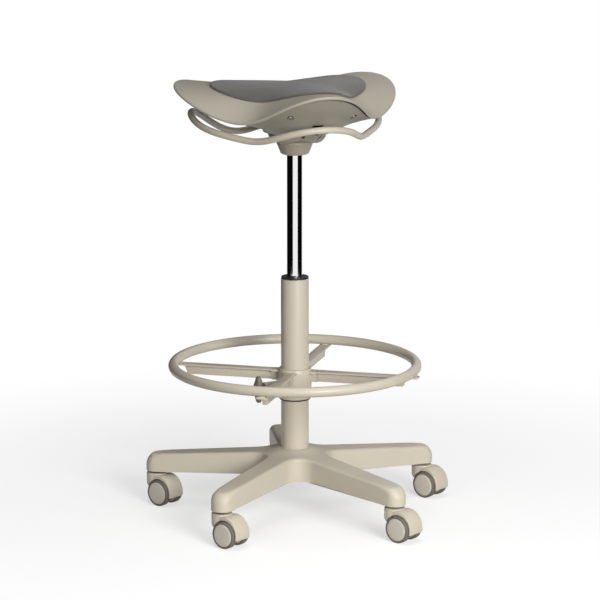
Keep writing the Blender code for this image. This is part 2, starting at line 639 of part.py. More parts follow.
# Foot ring and its clamp
def foot_ring():
    slide = frame("ring_slide", (0, 0, RING_HUB_Z))
    liner_bore = COLUMN_DIAMETER / 2 + FIT
    liner_skin = liner_bore + LINER_WALL
    flange_top = RING_HUB_Z - FIT
    liner = turned("hub_liner", [
        (liner_skin, RING_HUB_TOP_Z), (liner_skin, flange_top), (RING_HUB_FOOT_DIAMETER / 2, flange_top),
        (RING_HUB_FOOT_DIAMETER / 2, flange_top - LINER_FLANGE), (liner_bore, flange_top - LINER_FLANGE),
        (liner_bore, RING_HUB_TOP_Z)], hollow=True)
    liner.transform(Matrix.Translation((0, 0, -RING_HUB_Z)))
    piece("hub_liner", liner, BLACK_PLASTIC, slide)

    turn = frame("ring_turn", (0, 0, -RING_HUB_Z), parent=slide)
    bpy.ops.mesh.primitive_torus_add(
        major_segments=RING_STEPS, minor_segments=RING_TUBE_STEPS,
        major_radius=RING_DIAMETER / 2, minor_radius=RING_TUBE_DIAMETER / 2)
    torus = bpy.context.object
    ring = torus.data
    bpy.data.objects.remove(torus)
    smooth(ring)
    ring.transform(Matrix.Translation((0, 0, RING_Z)))
    piece("foot_ring", ring, GREIGE_PAINT, turn)

    hub_radius = RING_HUB_DIAMETER / 2
    hub = turned("foot_ring_hub", [
        (0, RING_HUB_TOP_Z), (RING_HUB_TOP_DIAMETER / 2, RING_HUB_TOP_Z),
        (hub_radius, RING_HUB_TOP_Z - RING_HUB_LIP), (hub_radius, RING_HUB_Z + RING_HUB_LIP),
        (RING_HUB_FOOT_DIAMETER / 2, RING_HUB_Z), (0, RING_HUB_Z)])
    stub_root = hub_radius * 0.85
    stub_reach = hub_radius + SPOKE_STUB
    stub_half = SPOKE_WIDTH / 2 + SPOKE_STUB_MARGIN
    web_half = SPOKE_WEB_WIDTH / 2 + SPOKE_STUB_MARGIN
    stub_middle = SPOKE_TOP_Z - SPOKE_PLATE - SPOKE_STUB_MARGIN
    stub_low = SPOKE_TOP_Z - SPOKE_PLATE - SPOKE_WEB_HEIGHT - SPOKE_STUB_MARGIN
    stub_section = [
        (-SPOKE_TOP_Z, -stub_half), (-SPOKE_TOP_Z, stub_half), (-stub_middle, stub_half),
        (-stub_middle, web_half), (-stub_low, web_half), (-stub_low, -web_half),
        (-stub_middle, -web_half), (-stub_middle, -stub_half)]
    arms = bmesh.new()
    for number in range(SPOKE_COUNT):
        arm = solid_mesh("spoke_arm", plate(stub_section, stub_root, stub_reach))
        arm.transform(about_z(SPOKE_TURN + 360 / SPOKE_COUNT * number) @ along_x())
        arms.from_mesh(arm)
    clamp_axis = about_z(CLAMP_TURN) @ Matrix.Translation((0, 0, CLAMP_Z)) @ along_x()
    boss = bmesh.new()
    add_rod(boss, CLAMP_BOSS_DIAMETER / 2, stub_root, CLAMP_BOSS_REACH, clamp_axis)
    bore = bmesh.new()
    add_rod(
        bore, liner_skin + FIT, RING_HUB_Z - RING_HUB_LIP, RING_HUB_TOP_Z + RING_HUB_LIP, steps=ROUND_STEPS)
    screw_hole = CLAMP_SCREW_DIAMETER / 2 + FIT
    pad_hole = CLAMP_PAD_DIAMETER / 2 + FIT
    pad_end = liner_skin + 2 * FIT + CLAMP_PAD_THICKNESS + CLAMP_PAD_TRAVEL
    hole_end = CLAMP_BOSS_REACH + KNOB_GAP
    clamp_hole = bmesh.new()
    clamp_hole.from_mesh(turned("clamp_hole", [
        (0, hole_end), (screw_hole, hole_end), (screw_hole, pad_end), (pad_hole, pad_end),
        (pad_hole, hub_radius / 2), (0, hub_radius / 2)], SMALL_STEPS))
    bmesh.ops.transform(clamp_hole, matrix=clamp_axis, verts=clamp_hole.verts)
    hub = shaped("foot_ring_hub", hub, [
        ("UNION", arms), ("UNION", boss), ("DIFFERENCE", bore), ("DIFFERENCE", clamp_hole)])
    piece("foot_ring_hub", hub, GREIGE_PLASTIC, turn)

    spoke = spoke_mesh(stub_reach + FIT)
    for number in range(SPOKE_COUNT):
        angle = math.radians(SPOKE_TURN + 360 / SPOKE_COUNT * number)
        piece(f"spoke_{number + 1}", spoke, GREIGE_PAINT, turn, turn=angle)
    ring_clamp(turn, clamp_axis, liner_skin + FIT)


def spoke_mesh(start):
    """A bar from the hub to under the ring: a top plate over a channel open below."""
    tip = RING_DIAMETER / 2 + RING_TUBE_DIAMETER / 2 + SPOKE_TIP
    web_end = RING_DIAMETER / 2 - SPOKE_WEB_SHORT
    plate_low = SPOKE_TOP_Z - SPOKE_PLATE
    web_low = plate_low - SPOKE_WEB_HEIGHT
    top = bmesh.new()
    add_box(top, (start, -SPOKE_WIDTH / 2, plate_low), (tip, SPOKE_WIDTH / 2, SPOKE_TOP_Z))
    side = [
        (start, SPOKE_TOP_Z - SPOKE_PLATE / 2), (start, web_low), (web_end - SPOKE_WEB_SLANT, web_low),
        (web_end, plate_low), (web_end, SPOKE_TOP_Z - SPOKE_PLATE / 2)]
    web = plate(side, -SPOKE_WEB_WIDTH / 2, SPOKE_WEB_WIDTH / 2)
    upright = Matrix.Rotation(math.radians(90), 4, "X")
    bmesh.ops.transform(web, matrix=upright, verts=web.verts)
    hollow = bmesh.new()
    half = SPOKE_WEB_WIDTH / 2 - SPOKE_SHEET
    add_box(
        hollow, (start + SPOKE_SHEET, -half, web_low - SPOKE_SHEET),
        (web_end - SPOKE_WEB_SLANT - SPOKE_SHEET, half, plate_low - SPOKE_SHEET))
    return shaped("spoke", solid_mesh("spoke", top), [("UNION", web), ("DIFFERENCE", hollow)])


def ring_clamp(turn, axis, pad_start):
    """A pad against the liner, pushed by the screw of a wing knob that tapers to two tips."""
    feed = frame("clamp_feed", (0, 0, 0), parent=turn)
    pad = turned("clamp_pad", [
        (0, pad_start + CLAMP_PAD_THICKNESS), (CLAMP_PAD_DIAMETER / 2, pad_start + CLAMP_PAD_THICKNESS),
        (CLAMP_PAD_DIAMETER / 2, pad_start + FIT), (0, pad_start + FIT)], SMALL_STEPS)
    pad.transform(axis)
    piece("clamp_pad", pad, BLACK_PLASTIC, feed)

    spin = frame("clamp_spin", (0, 0, 0), parent=feed)
    knob_start = CLAMP_BOSS_REACH + KNOB_GAP
    knob_end = knob_start + KNOB_THICKNESS
    screw_start = pad_start + CLAMP_PAD_THICKNESS + FIT
    screw_end = knob_end - KNOB_CAP
    screw = turned("clamp_screw", [
        (0, screw_end), (CLAMP_SCREW_DIAMETER / 2, screw_end), (CLAMP_SCREW_DIAMETER / 2, screw_start),
        (0, screw_start)], SMALL_STEPS)
    screw.transform(axis)
    piece("clamp_screw", screw, STEEL, spin)

    wing = KNOB_LENGTH / 2
    tip = KNOB_TIP_WIDTH / 2
    waist = KNOB_WIDTH / 2
    shape = plate(
        [(wing, -tip), (wing, tip), (0, waist), (-wing, tip), (-wing, -tip), (0, -waist)],
        knob_start, knob_end)
    bmesh.ops.bevel(
        shape, geom=list(shape.edges), offset=KNOB_ROUND, offset_type="OFFSET", segments=2, profile=0.5,
        affect="EDGES", material=-1)
    bore = bmesh.new()
    add_rod(bore, CLAMP_SCREW_DIAMETER / 2 + FIT, knob_start - KNOB_GAP, screw_end + FIT)
    knob = shaped("clamp_knob", solid_mesh("clamp_knob", shape), [("DIFFERENCE", bore)])
    knob.transform(axis)
    piece("clamp_knob", knob, KNOB_PLASTIC, spin)


# Mechanism and lever
def mechanism(slide):
    foot = CUP_FOOT_DIAMETER / 2
    top = CUP_TOP_DIAMETER / 2
    cup = bmesh.new()
    block = bmesh.new()
    add_box(block, (-BOX_LEFT, -BOX_DEPTH / 2, BOX_Z), (BOX_RIGHT, BOX_DEPTH / 2, BOX_TOP_Z))
    low_edges = [e for e in block.edges if max(v.co.z for v in e.verts) < BOX_TOP_Z - BOX_HEIGHT / 2]
    upright = [e for e in block.edges if abs(e.verts[0].co.z - e.verts[1].co.z) > BOX_HEIGHT / 2]
    bmesh.ops.bevel(
        block, geom=low_edges + upright, offset=BOX_ROUND, offset_type="OFFSET", segments=4, profile=0.5,
        affect="EDGES", material=-1)
    cup_mesh = turned("cup", [
        (0, BOX_TOP_Z - BOX_ROUND), (top, BOX_TOP_Z - BOX_ROUND), (top, BOX_Z),
        (foot, CUP_Z + CUP_ROUND), (foot - CUP_ROUND / 3, CUP_Z + CUP_ROUND / 3), (foot - CUP_ROUND, CUP_Z),
        (0, CUP_Z)])
    cup.from_mesh(cup_mesh)
    cheeks = bmesh.new()
    cheek_in = YOKE_WIDTH / 2 + FIT
    cheek_out = cheek_in + CHEEK_THICKNESS
    cheek_top = PIVOT_Z + CHEEK_LENGTH / 2
    near = -LEVER_PIVOT_FORWARD - CHEEK_LENGTH / 2
    far = -LEVER_PIVOT_FORWARD + CHEEK_LENGTH / 2
    for low, high in ((cheek_in, cheek_out), (-cheek_out, -cheek_in)):
        add_box(cheeks, (low, near, BOX_Z + BOX_ROUND), (high, far, cheek_top))
    socket = bmesh.new()
    tip = CYLINDER_TIP_DIAMETER / 2 + FIT
    slope = (CYLINDER_DIAMETER - CYLINDER_TIP_DIAMETER) / 2 / (CYLINDER_TOP_Z - CUP_Z)
    add_rod(
        socket, CYLINDER_DIAMETER / 2 + FIT + slope * BOX_ROUND, CUP_Z - BOX_ROUND,
        CYLINDER_TOP_Z + BOX_ROUND, steps=ROUND_STEPS, end_radius=tip - slope * BOX_ROUND)
    pin_bore = bmesh.new()
    pin_axis = Matrix.Translation((0, -LEVER_PIVOT_FORWARD, PIVOT_Z)) @ along_x()
    add_rod(pin_bore, PIN_DIAMETER / 2 + FIT, -BOX_LEFT, BOX_RIGHT, pin_axis)
    housing = shaped("mechanism_housing", solid_mesh("mechanism_housing", block), [
        ("UNION", cup), ("UNION", cheeks), ("DIFFERENCE", socket), ("DIFFERENCE", pin_bore)])
    piece("mechanism_housing", housing, GREIGE_PLASTIC, slide)

    pin = turned("lever_pivot_pin", [
        (0, cheek_out), (PIN_DIAMETER / 2, cheek_out), (PIN_DIAMETER / 2, -cheek_out), (0, -cheek_out)],
        SMALL_STEPS)
    pin.transform(pin_axis)
    piece("lever_pivot_pin", pin, STEEL, slide)

    lever = frame("lever_lift", (0, -LEVER_PIVOT_FORWARD, PIVOT_Z), parent=slide)
    to_pivot = Matrix.Translation((0, LEVER_PIVOT_FORWARD, -PIVOT_Z))
    yoke = bmesh.new()
    add_box(
        yoke, (-YOKE_WIDTH / 2, -LOOP_REACH[0], YOKE_Z),
        (YOKE_WIDTH / 2, YOKE_BEHIND_BUTTON, YOKE_Z + YOKE_THICKNESS))
    yoke_bore = bmesh.new()
    add_rod(yoke_bore, PIN_DIAMETER / 2 + FIT, -BOX_LEFT, BOX_RIGHT, pin_axis)
    saddle = bmesh.new()
    saddle.from_mesh(loop_mesh(LOOP_TUBE_DIAMETER / 2 + FIT))
    yoke_mesh = shaped("lever_yoke", solid_mesh("lever_yoke", yoke), [
        ("DIFFERENCE", yoke_bore), ("DIFFERENCE", saddle)])
    yoke_mesh.transform(to_pivot)
    piece("lever_yoke", yoke_mesh, SHADE_PLASTIC, lever)
    loop = loop_mesh(LOOP_TUBE_DIAMETER / 2)
    loop.transform(to_pivot)
    piece("lever_loop", loop, GREIGE_PLASTIC, lever)


def loop_height(angle):
    """Height of the loop's middle line, which dips on each side between the wing and the rear."""
    dip = (1 - math.cos(6 * angle)) / 2 * ((1 - math.cos(angle)) / 2) ** 2
    return BOX_TOP_Z + wave(LOOP_ABOVE_BOX, angle) - LOOP_REAR_DIP * dip


def loop_mesh(radius):
    """A closed tube that follows the seat's wave below its edge."""
    curve = bpy.data.curves.new("lever_loop", "CURVE")
    curve.dimensions = "3D"
    curve.bevel_depth = radius
    curve.bevel_resolution = 2
    spline = curve.splines.new("POLY")
    spline.points.add(LOOP_POINTS - 1)
    for i, point in enumerate(spline.points):
        angle = 2 * math.pi * i / LOOP_POINTS
        point.co = (*on_seat(wave(LOOP_REACH, angle), angle, loop_height(angle)), 1.0)
    spline.use_cyclic_u = True
    tube = bpy.data.objects.new("lever_loop", curve)
    parts.objects.link(tube)
    return baked(tube)


# Seat
def wave(values, angle):
    """A smooth closed wave through a front, thigh, wing and rear value."""
    front, thigh, wing, rear = values
    steady = (front + 2 * thigh + 2 * wing + rear) / 6
    once = (front + thigh - wing - rear) / 3
    twice = (front - thigh - wing + rear) / 3
    thrice = (front - 2 * thigh + 2 * wing - rear) / 6
    return (
        steady + once * math.cos(angle) + twice * math.cos(2 * angle) + thrice * math.cos(3 * angle))


def on_seat(reach, angle, height):
    """A point at a reach from the column's axis, its angle counted from the seat's front."""
    return (reach * math.sin(angle), -reach * math.cos(angle), height)


def seat_top(reach, angle):
    """Height of the shell's upper surface."""
    share = reach / wave(SEAT_REACH, angle)
    return SHELL_Z + wave(SEAT_RISE, angle) * share ** SEAT_CURVE


def swept(name, rows, place, closed):
    """Sweeps a row of points round the seat, then puts each one at place(row, angle)."""
    shape = bmesh.new()
    line = [shape.verts.new((0.0, -1.0 - row, 0.0)) for row in range(len(rows))]
    edges = [shape.edges.new(pair) for pair in zip(line, line[1:])]
    if closed:
        edges.append(shape.edges.new((line[-1], line[0])))
    bmesh.ops.spin(
        shape, geom=line + edges, cent=(0, 0, 0), axis=(0, 0, 1), angle=2 * math.pi,
        steps=SEAT_STEPS, use_merge=True)
    for vertex in shape.verts:
        row = rows[round(vertex.co.xy.length) - 1]
        angle = math.atan2(vertex.co.x, -vertex.co.y)
        vertex.co = place(row, angle)
    bmesh.ops.remove_doubles(shape, verts=shape.verts, dist=FIT / 100)
    bmesh.ops.triangulate(shape, faces=shape.faces)
    return solid_mesh(name, shape)


def shell_mesh():
    """A moulded shell of even thickness with a rounded edge."""
    shares = (0.0, 0.25, 0.5, 0.75, 0.92, 1.0)
    rows = [(share, 0.0) for share in shares]
    rows += [(1.0, 0.5)]
    rows += [(share, 1.0) for share in reversed(shares)]
    roll = SHELL_THICKNESS / 2

    def place(row, angle):
        share, depth = row
        edge = roll if depth != 0.5 else 0.0
        reach = share * (wave(SEAT_REACH, angle) - edge)
        return on_seat(reach, angle, seat_top(reach, angle) - depth * SHELL_THICKNESS)

    return swept("seat_shell", rows, place, False)


def shell_copy(shell, lift):
    """The shell moved up or down by a fit, to cut the pieces that seat on it."""
    shape = bmesh.new()
    shape.from_mesh(shell)
    bmesh.ops.translate(shape, verts=shape.verts, vec=(0, 0, lift))
    return shape


def pad_mesh(shell):
    """A crowned pad drawn in at its edge, its underside fitted to the shell."""
    sunk = SHELL_THICKNESS / 2
    rows = [(share, -1.0) for share in (0.0, 0.4, 0.7, 0.87, 1.0)]
    rows += [(1.0, 0.4), (0.985, 0.75)]
    rows += [(share, 1.0) for share in (0.95, 0.82, 0.6, 0.3, 0.0)]

    def place(row, angle):
        share, lift = row
        reach = share * wave(PAD_REACH, angle)
        height = lift * (PAD_EDGE + PAD_CROWN * (1 - share ** 2)) if lift > 0 else -sunk
        return on_seat(reach, angle, seat_top(reach, angle) + height)

    return shaped("seat_pad", swept("seat_pad", rows, place, False), [
        ("DIFFERENCE", shell_copy(shell, FIT))])


def pan_mesh(shell):
    """A cover under the shell, open in the middle for the mechanism and its lever."""
    shares = (0.0, 0.08, 0.25, 0.5, 0.78, 1.0)
    rows = [("floor", 0.0, 0.0)]
    rows += [("wall", share, 0.0) for share in shares]
    rows += [("rim", 1.0, 0.0)]
    rows += [("wall", share, 1.0) for share in reversed(shares[:-1])]
    rows += [("floor", 0.0, 1.0)]
    floor_z = BOX_TOP_Z + FIT

    def place(row, angle):
        zone, share, layer = row
        rim = wave(SEAT_REACH, angle) - PAN_INSET
        rim_z = seat_top(rim, angle) - SHELL_THICKNESS - PAN_WALL
        reach = PAN_HOLE_RADIUS
        height = floor_z
        if zone == "wall":
            floor_reach = wave(PAN_FLOOR_REACH, angle)
            reach = floor_reach + (rim - floor_reach) * share
            height = floor_z + (rim_z - floor_z) * share ** wave(PAN_BOW, angle)
        if zone == "rim":
            reach = rim - PAN_WALL
            height = seat_top(rim, angle) - SHELL_THICKNESS / 2
        return on_seat(reach, angle, height + layer * PAN_WALL)

    slot = bmesh.new()
    slot_half = YOKE_WIDTH / 2 + SLOT_MARGIN
    add_box(
        slot, (-slot_half, -LOOP_REACH[0] + LOOP_TUBE_DIAMETER, floor_z - PAN_WALL),
        (slot_half, -PAN_HOLE_RADIUS / 2, YOKE_Z + YOKE_THICKNESS + SLOT_LIFT))
    return shaped("seat_pan", swept("seat_pan", rows, place, True), [
        ("DIFFERENCE", shell_copy(shell, -FIT)), ("DIFFERENCE", slot)])


def seat(slide):
    shell = shell_mesh()
    piece("seat_pan", pan_mesh(shell), SHADE_PLASTIC, slide)
    piece("seat_pad", pad_mesh(shell), PAD_CLOTH, slide)
    piece("seat_shell", shell, GREIGE_PLASTIC, slide)


casters()
five_star_base()
seat_slide = gas_lift()
foot_ring()
mechanism(seat_slide)
seat(seat_slide)
bpy.context.view_layer.update()
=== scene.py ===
"""A saddle stool in its finish: moulded, painted, chromed and upholstered pieces fitted on the
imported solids, stood on a plain pale studio floor. Metres, +Z up, the seat's front at -Y.
"""

import json
import math

import bmesh
import bpy
from mathutils import Matrix, Vector


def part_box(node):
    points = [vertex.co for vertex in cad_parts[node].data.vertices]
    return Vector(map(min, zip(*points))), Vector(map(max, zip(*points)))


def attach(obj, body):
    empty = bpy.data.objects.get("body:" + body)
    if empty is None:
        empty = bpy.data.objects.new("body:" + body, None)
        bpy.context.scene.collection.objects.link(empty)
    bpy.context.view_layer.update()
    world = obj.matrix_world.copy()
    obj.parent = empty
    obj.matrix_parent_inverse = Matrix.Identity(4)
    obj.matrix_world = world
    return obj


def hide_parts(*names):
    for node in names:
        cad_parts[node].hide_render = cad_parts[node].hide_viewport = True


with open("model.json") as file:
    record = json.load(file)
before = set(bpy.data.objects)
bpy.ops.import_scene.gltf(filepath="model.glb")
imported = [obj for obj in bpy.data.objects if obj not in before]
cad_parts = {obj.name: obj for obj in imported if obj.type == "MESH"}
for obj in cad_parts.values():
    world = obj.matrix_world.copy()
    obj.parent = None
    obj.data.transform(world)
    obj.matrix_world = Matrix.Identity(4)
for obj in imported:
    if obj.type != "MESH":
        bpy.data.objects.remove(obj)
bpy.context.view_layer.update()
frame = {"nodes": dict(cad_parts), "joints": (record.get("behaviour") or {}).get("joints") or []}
joints = {joint["name"]: joint for joint in frame["joints"]}
scene = bpy.context.scene
scene.view_settings.view_transform = "Standard"


# Caster wheels: ten moulded plastic wheels with a domed disc outside and a dished back, each
# with a grey rubber tread pressed over its rim. A pair turns on one steel axle.
CASTERS = range(1, 6)
SIDES = (("left", 1), ("right", -1))
TYRE_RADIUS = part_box("caster_1_left_tyre")[1].z / 2
TYRE_HALF = 0.0068
TYRE_SHOULDER = 0.0026
TYRE_FIT = 0.0004
DISC_RADIUS = 0.0202
DISC_DOME = 0.0010
DISC_EDGE = 0.0011
WHEEL_HALF = 0.0084
WHEEL_RIM = 0.0032
DISH_DEPTH = 0.0075
WHEEL_BOSS_RADIUS = 0.0068
AXLE_BORE_RADIUS = 0.0033
AXLE_COVER = 0.004
DOME_RINGS = 10
MERGE_DISTANCE = 0.000001
SMOOTH_ANGLE = 32.0
WHEEL_COLOUR = (0.600, 0.552, 0.462)
RUBBER_COLOUR = (0.150, 0.138, 0.112)


class Wire:
    """A socket in a material's nodes. Sums on wires add the Math nodes that they need."""

    def __init__(self, tree, socket=None):
        self.tree = tree
        self.socket = socket

    def node(self, kind, settings=(), sockets=(), output=0):
        """Adds a node: its settings first, then the values or wires of its sockets."""
        new = self.tree.nodes.new(kind)
        for name, value in dict(settings).items():
            setattr(new, name, value)
        for name, value in dict(sockets).items():
            if isinstance(value, Wire):
                self.tree.links.new(value.socket, new.inputs[name])
            else:
                new.inputs[name].default_value = value
        return Wire(self.tree, new.outputs[output] if new.outputs else None)

    def maths(self, operation, one, two=0.0):
        return self.node("ShaderNodeMath", {"operation": operation}, {0: one, 1: two})

    def __add__(self, other):
        return self.maths("ADD", self, other)

    __radd__ = __add__

    def __sub__(self, other):
        return self.maths("SUBTRACT", self, other)

    def __rsub__(self, other):
        return self.maths("SUBTRACT", other, self)

    def __mul__(self, other):
        return self.maths("MULTIPLY", self, other)

    __rmul__ = __mul__


def blank(name):
    """A new material, and a wire that its nodes are added from."""
    material = bpy.data.materials.new(name)
    material.use_nodes = True
    material.node_tree.nodes.clear()
    return material, Wire(material.node_tree)


def noise(wire, scale, detail=2.0, stretch=(1.0, 1.0, 1.0)):
    """Even noise in the stool's own space, in features per metre."""
    spot = wire.node("ShaderNodeTexCoord", output="Object")
    stretched = wire.node("ShaderNodeMapping", {}, {"Vector": spot, "Scale": stretch})
    return wire.node("ShaderNodeTexNoise", {}, {"Vector": stretched, "Scale": scale, "Detail": detail})


def tone(wire, colour, share, spread):
    """A colour that goes from darker to lighter as a share goes from 0 to 1."""
    dark, light = ((*(part * level for part in colour), 1.0) for level in (1 - spread, 1 + spread))
    return wire.node("ShaderNodeMix", {"data_type": "RGBA"}, {0: share, 6: dark, 7: light}, 2)


def relief(wire, height, strength, depth):
    """Fine bumps for a shader's normals."""
    return wire.node("ShaderNodeBump", {}, {"Strength": strength, "Distance": depth, "Height": height})


def surface(wire, sockets):
    """Ends a material's nodes with its shader."""
    shader = wire.node("ShaderNodeBsdfPrincipled", {}, sockets)
    wire.node("ShaderNodeOutputMaterial", {}, {"Surface": shader})


def moulded(name, colour, roughness):
    """Moulded plastic: a slow drift of tone, and a fine eroded grain that breaks up the gloss."""
    material, wire = blank(name)
    drift = noise(wire, scale=7.0, detail=3.0)
    grain = noise(wire, scale=1500.0)
    surface(wire, {
        "Base Color": tone(wire, colour, 0.7 * drift + 0.3 * grain, spread=0.08),
        "Roughness": roughness - 0.08 + 0.16 * grain,
        "Normal": relief(wire, grain, strength=0.35, depth=0.00012),
        "Specular IOR Level": 0.4})
    return material


def rubber(name, colour):
    """Matt rubber: mottled, dusty and hardly shiny."""
    material, wire = blank(name)
    mottle = noise(wire, scale=120.0, detail=4.0)
    surface(wire, {
        "Base Color": tone(wire, colour, mottle, spread=0.20),
        "Roughness": 0.62 + 0.2 * mottle,
        "Normal": relief(wire, noise(wire, scale=2200.0), strength=0.4, depth=0.0001),
        "Specular IOR Level": 0.3})
    return material


def eased(corners, closed=False, steps=6):
    """An outline through (across, up, radius) corners, each turned by an arc of that radius."""
    outline = []
    for i, (across, up, radius) in enumerate(corners):
        corner = Vector((across, up))
        if radius == 0 or (not closed and i in (0, len(corners) - 1)):
            outline.append(corner)
            continue
        back = (Vector(corners[i - 1][:2]) - corner).normalized()
        on = (Vector(corners[(i + 1) % len(corners)][:2]) - corner).normalized()
        half = back.angle(on) / 2
        centre = corner + (back + on).normalized() * (radius / math.sin(half))
        start = corner + back * (radius / math.tan(half)) - centre
        end = corner + on * (radius / math.tan(half)) - centre
        for step in range(steps + 1):
            outline.append(centre + start.slerp(end, step / steps).normalized() * radius)
    return outline


def spun(points, ring, steps):
    """Spins a row of points once round Z. A ring's row closes on itself."""
    shape = bmesh.new()
    line = [shape.verts.new(point) for point in points]
    pairs = list(zip(line, line[1:]))
    if ring:
        pairs.append((line[-1], line[0]))
    edges = [shape.edges.new(pair) for pair in pairs]
    bmesh.ops.spin(
        shape, geom=line + edges, cent=(0, 0, 0), axis=(0, 0, 1), angle=2 * math.pi, steps=steps,
        use_merge=True)
    return shape


def closed_up(shape):
    """Closes a spun shape's poles and turns its faces outward."""
    bmesh.ops.remove_doubles(shape, verts=shape.verts, dist=MERGE_DISTANCE)
    bmesh.ops.recalc_face_normals(shape, faces=shape.faces)
    return shape


def turned(outline, ring=False, steps=64):
    """Turns an outline of (radius, height) points round Z."""
    return closed_up(spun([(radius, 0, height) for radius, height in outline], ring, steps))


def moved(shape, matrix):
    """A copy of a shape, put in its place."""
    copy = shape.copy()
    bmesh.ops.transform(copy, matrix=matrix, verts=copy.verts)
    return copy


def facing(spot, direction):
    """A place at a spot whose local Z points along a direction."""
    turn = Vector(direction).to_track_quat("Z", "Y").to_matrix().to_4x4()
    return Matrix.Translation(spot) @ turn


def stand(name, shape):
    """Puts a shape in the scene as an object."""
    mesh = bpy.data.meshes.new(name)
    shape.to_mesh(mesh)
    shape.free()
    thing = bpy.data.objects.new(name, mesh)
    scene.collection.objects.link(thing)
    return thing


def dress(name, shape, material, body, slot, *nodes):
    """Makes a shape a smooth piece of the stool that rides on a body and stands for nodes."""
    piece = stand(name, shape)
    piece.data.shade_smooth()
    piece.data.set_sharp_from_angle(angle=math.radians(SMOOTH_ANGLE))
    piece.data.materials.append(material)
    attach(piece, body)
    if nodes:
        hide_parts(*nodes)
    return piece


wheel_plastic = moulded("wheel_plastic", WHEEL_COLOUR, roughness=0.42)
tyre_rubber = rubber("tyre_rubber", RUBBER_COLOUR)

dome_share = [step / DOME_RINGS for step in range(DOME_RINGS)]
wheel_face = [
    (DISC_RADIUS * share, WHEEL_HALF - DISC_DOME * share ** 2) for share in dome_share]
wheel_back = eased([
    (*wheel_face[-1], 0),
    (DISC_RADIUS, WHEEL_HALF - 2 * DISC_DOME, DISC_EDGE),
    (DISC_RADIUS, DISC_EDGE - WHEEL_HALF, DISC_EDGE / 2),
    (DISC_RADIUS - WHEEL_RIM, DISC_EDGE - WHEEL_HALF, DISC_EDGE / 2),
    (DISC_RADIUS - WHEEL_RIM - DISC_EDGE / 2, DISH_DEPTH - WHEEL_HALF, DISC_EDGE),
    (WHEEL_BOSS_RADIUS + DISC_EDGE / 2, DISH_DEPTH - WHEEL_HALF, DISC_EDGE),
    (WHEEL_BOSS_RADIUS, -WHEEL_HALF, DISC_EDGE / 2),
    (AXLE_BORE_RADIUS, -WHEEL_HALF, 0),
    (AXLE_BORE_RADIUS, WHEEL_HALF - AXLE_COVER, 0),
    (0, WHEEL_HALF - AXLE_COVER, 0)])
wheel = turned(wheel_face[:-1] + wheel_back)
tyre_bore = DISC_RADIUS + TYRE_FIT
tyre = turned(eased([
    (tyre_bore, TYRE_HALF, TYRE_FIT),
    (TYRE_RADIUS, TYRE_HALF, TYRE_SHOULDER),
    (TYRE_RADIUS, -TYRE_HALF, TYRE_SHOULDER),
    (tyre_bore, -TYRE_HALF, TYRE_FIT)], closed=True), ring=True)
for number in CASTERS:
    for side, sign in SIDES:
        label = f"caster_{number}_{side}"
        roll = joints[f"{label}_roll"]
        place = facing(roll["pos_m"], Vector(roll["axis"]) * sign)
        dress(
            f"fine_{label}_wheel", moved(wheel, place), wheel_plastic, label, "wheel_plastic",
            f"{label}_wheel")
        dress(
            f"fine_{label}_tyre", moved(tyre, place), tyre_rubber, label, "tyre_rubber",
            f"{label}_tyre")
wheel.free()
tyre.free()


# Caster hoods: moulded bodies with a web between the wheels, a guard over their back and a round
# neck under the leg. The axle goes through the web, and a dark steel stem rises into the leg.
HOOD_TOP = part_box("caster_1_hood")[1].z
HOOD_WIDTH = 0.035
HOOD_WALL = 0.003
HOOD_EDGE = 0.0013
HOOD_BACK_ANGLE = -13.0
HOOD_FRONT_ANGLE = 105.0
HOOD_RISE = 1.10
WELL_RADIUS = 0.0257
WEB_HALF = 0.0066
WEB_BOSS_RADIUS = 0.013
WEB_BOSS_ANGLES = (190.0, 290.0)
NECK_RADIUS = 0.0185
NECK_EDGE = 0.0016
NECK_CLEARANCE = 0.0010
STEM_BORE_RADIUS = 0.0058
STEM_BORE_DEPTH = 0.0143
TRAIL = 0.020
GREIGE = (0.560, 0.505, 0.408)
STEEL_GREY = (0.42, 0.42, 0.43)
BLACKENED = (0.035, 0.033, 0.030)


def polar(reach, degrees):
    """A flat point at a reach and an angle from zero."""
    angle = math.radians(degrees)
    return reach * Vector((math.cos(angle), math.sin(angle)))


def arc(centre, radius, start, end, count):
    """Points on an arc about a centre, its angles in degrees."""
    return [centre + polar(radius, start + (end - start) * step / count) for step in range(count + 1)]


def slab(outline, low, high, edge=0.0, segments=3):
    """A slab over an outline, between two heights, with its two rims rounded."""
    shape = bmesh.new()
    face = shape.faces.new([shape.verts.new((*point, low)) for point in outline])
    grown = bmesh.ops.extrude_face_region(shape, geom=[face])
    lifted = [part for part in grown["geom"] if isinstance(part, bmesh.types.BMVert)]
    bmesh.ops.translate(shape, verts=lifted, vec=(0, 0, high - low))
    bmesh.ops.recalc_face_normals(shape, faces=shape.faces)
    if edge:
        level = (high - low) / 2
        rims = [rim for rim in shape.edges if abs(rim.verts[0].co.z - rim.verts[1].co.z) < level]
        soften(shape, rims, edge, segments)
    return shape


def soften(shape, edges, radius, segments=3):
    """Rounds edges of a shape."""
    bmesh.ops.bevel(
        shape, geom=edges, offset=radius, offset_type="OFFSET", segments=segments, profile=0.5,
        affect="EDGES", clamp_overlap=True, material=-1)


def rod(radius, low, high, steps=64, top_radius=None):
    """A plain bar or cone round Z between two heights."""
    shape = bmesh.new()
    bmesh.ops.create_cone(
        shape, cap_ends=True, segments=steps, radius1=radius,
        radius2=radius if top_radius is None else top_radius, depth=high - low,
        matrix=Matrix.Translation((0, 0, (low + high) / 2)))
    return shape


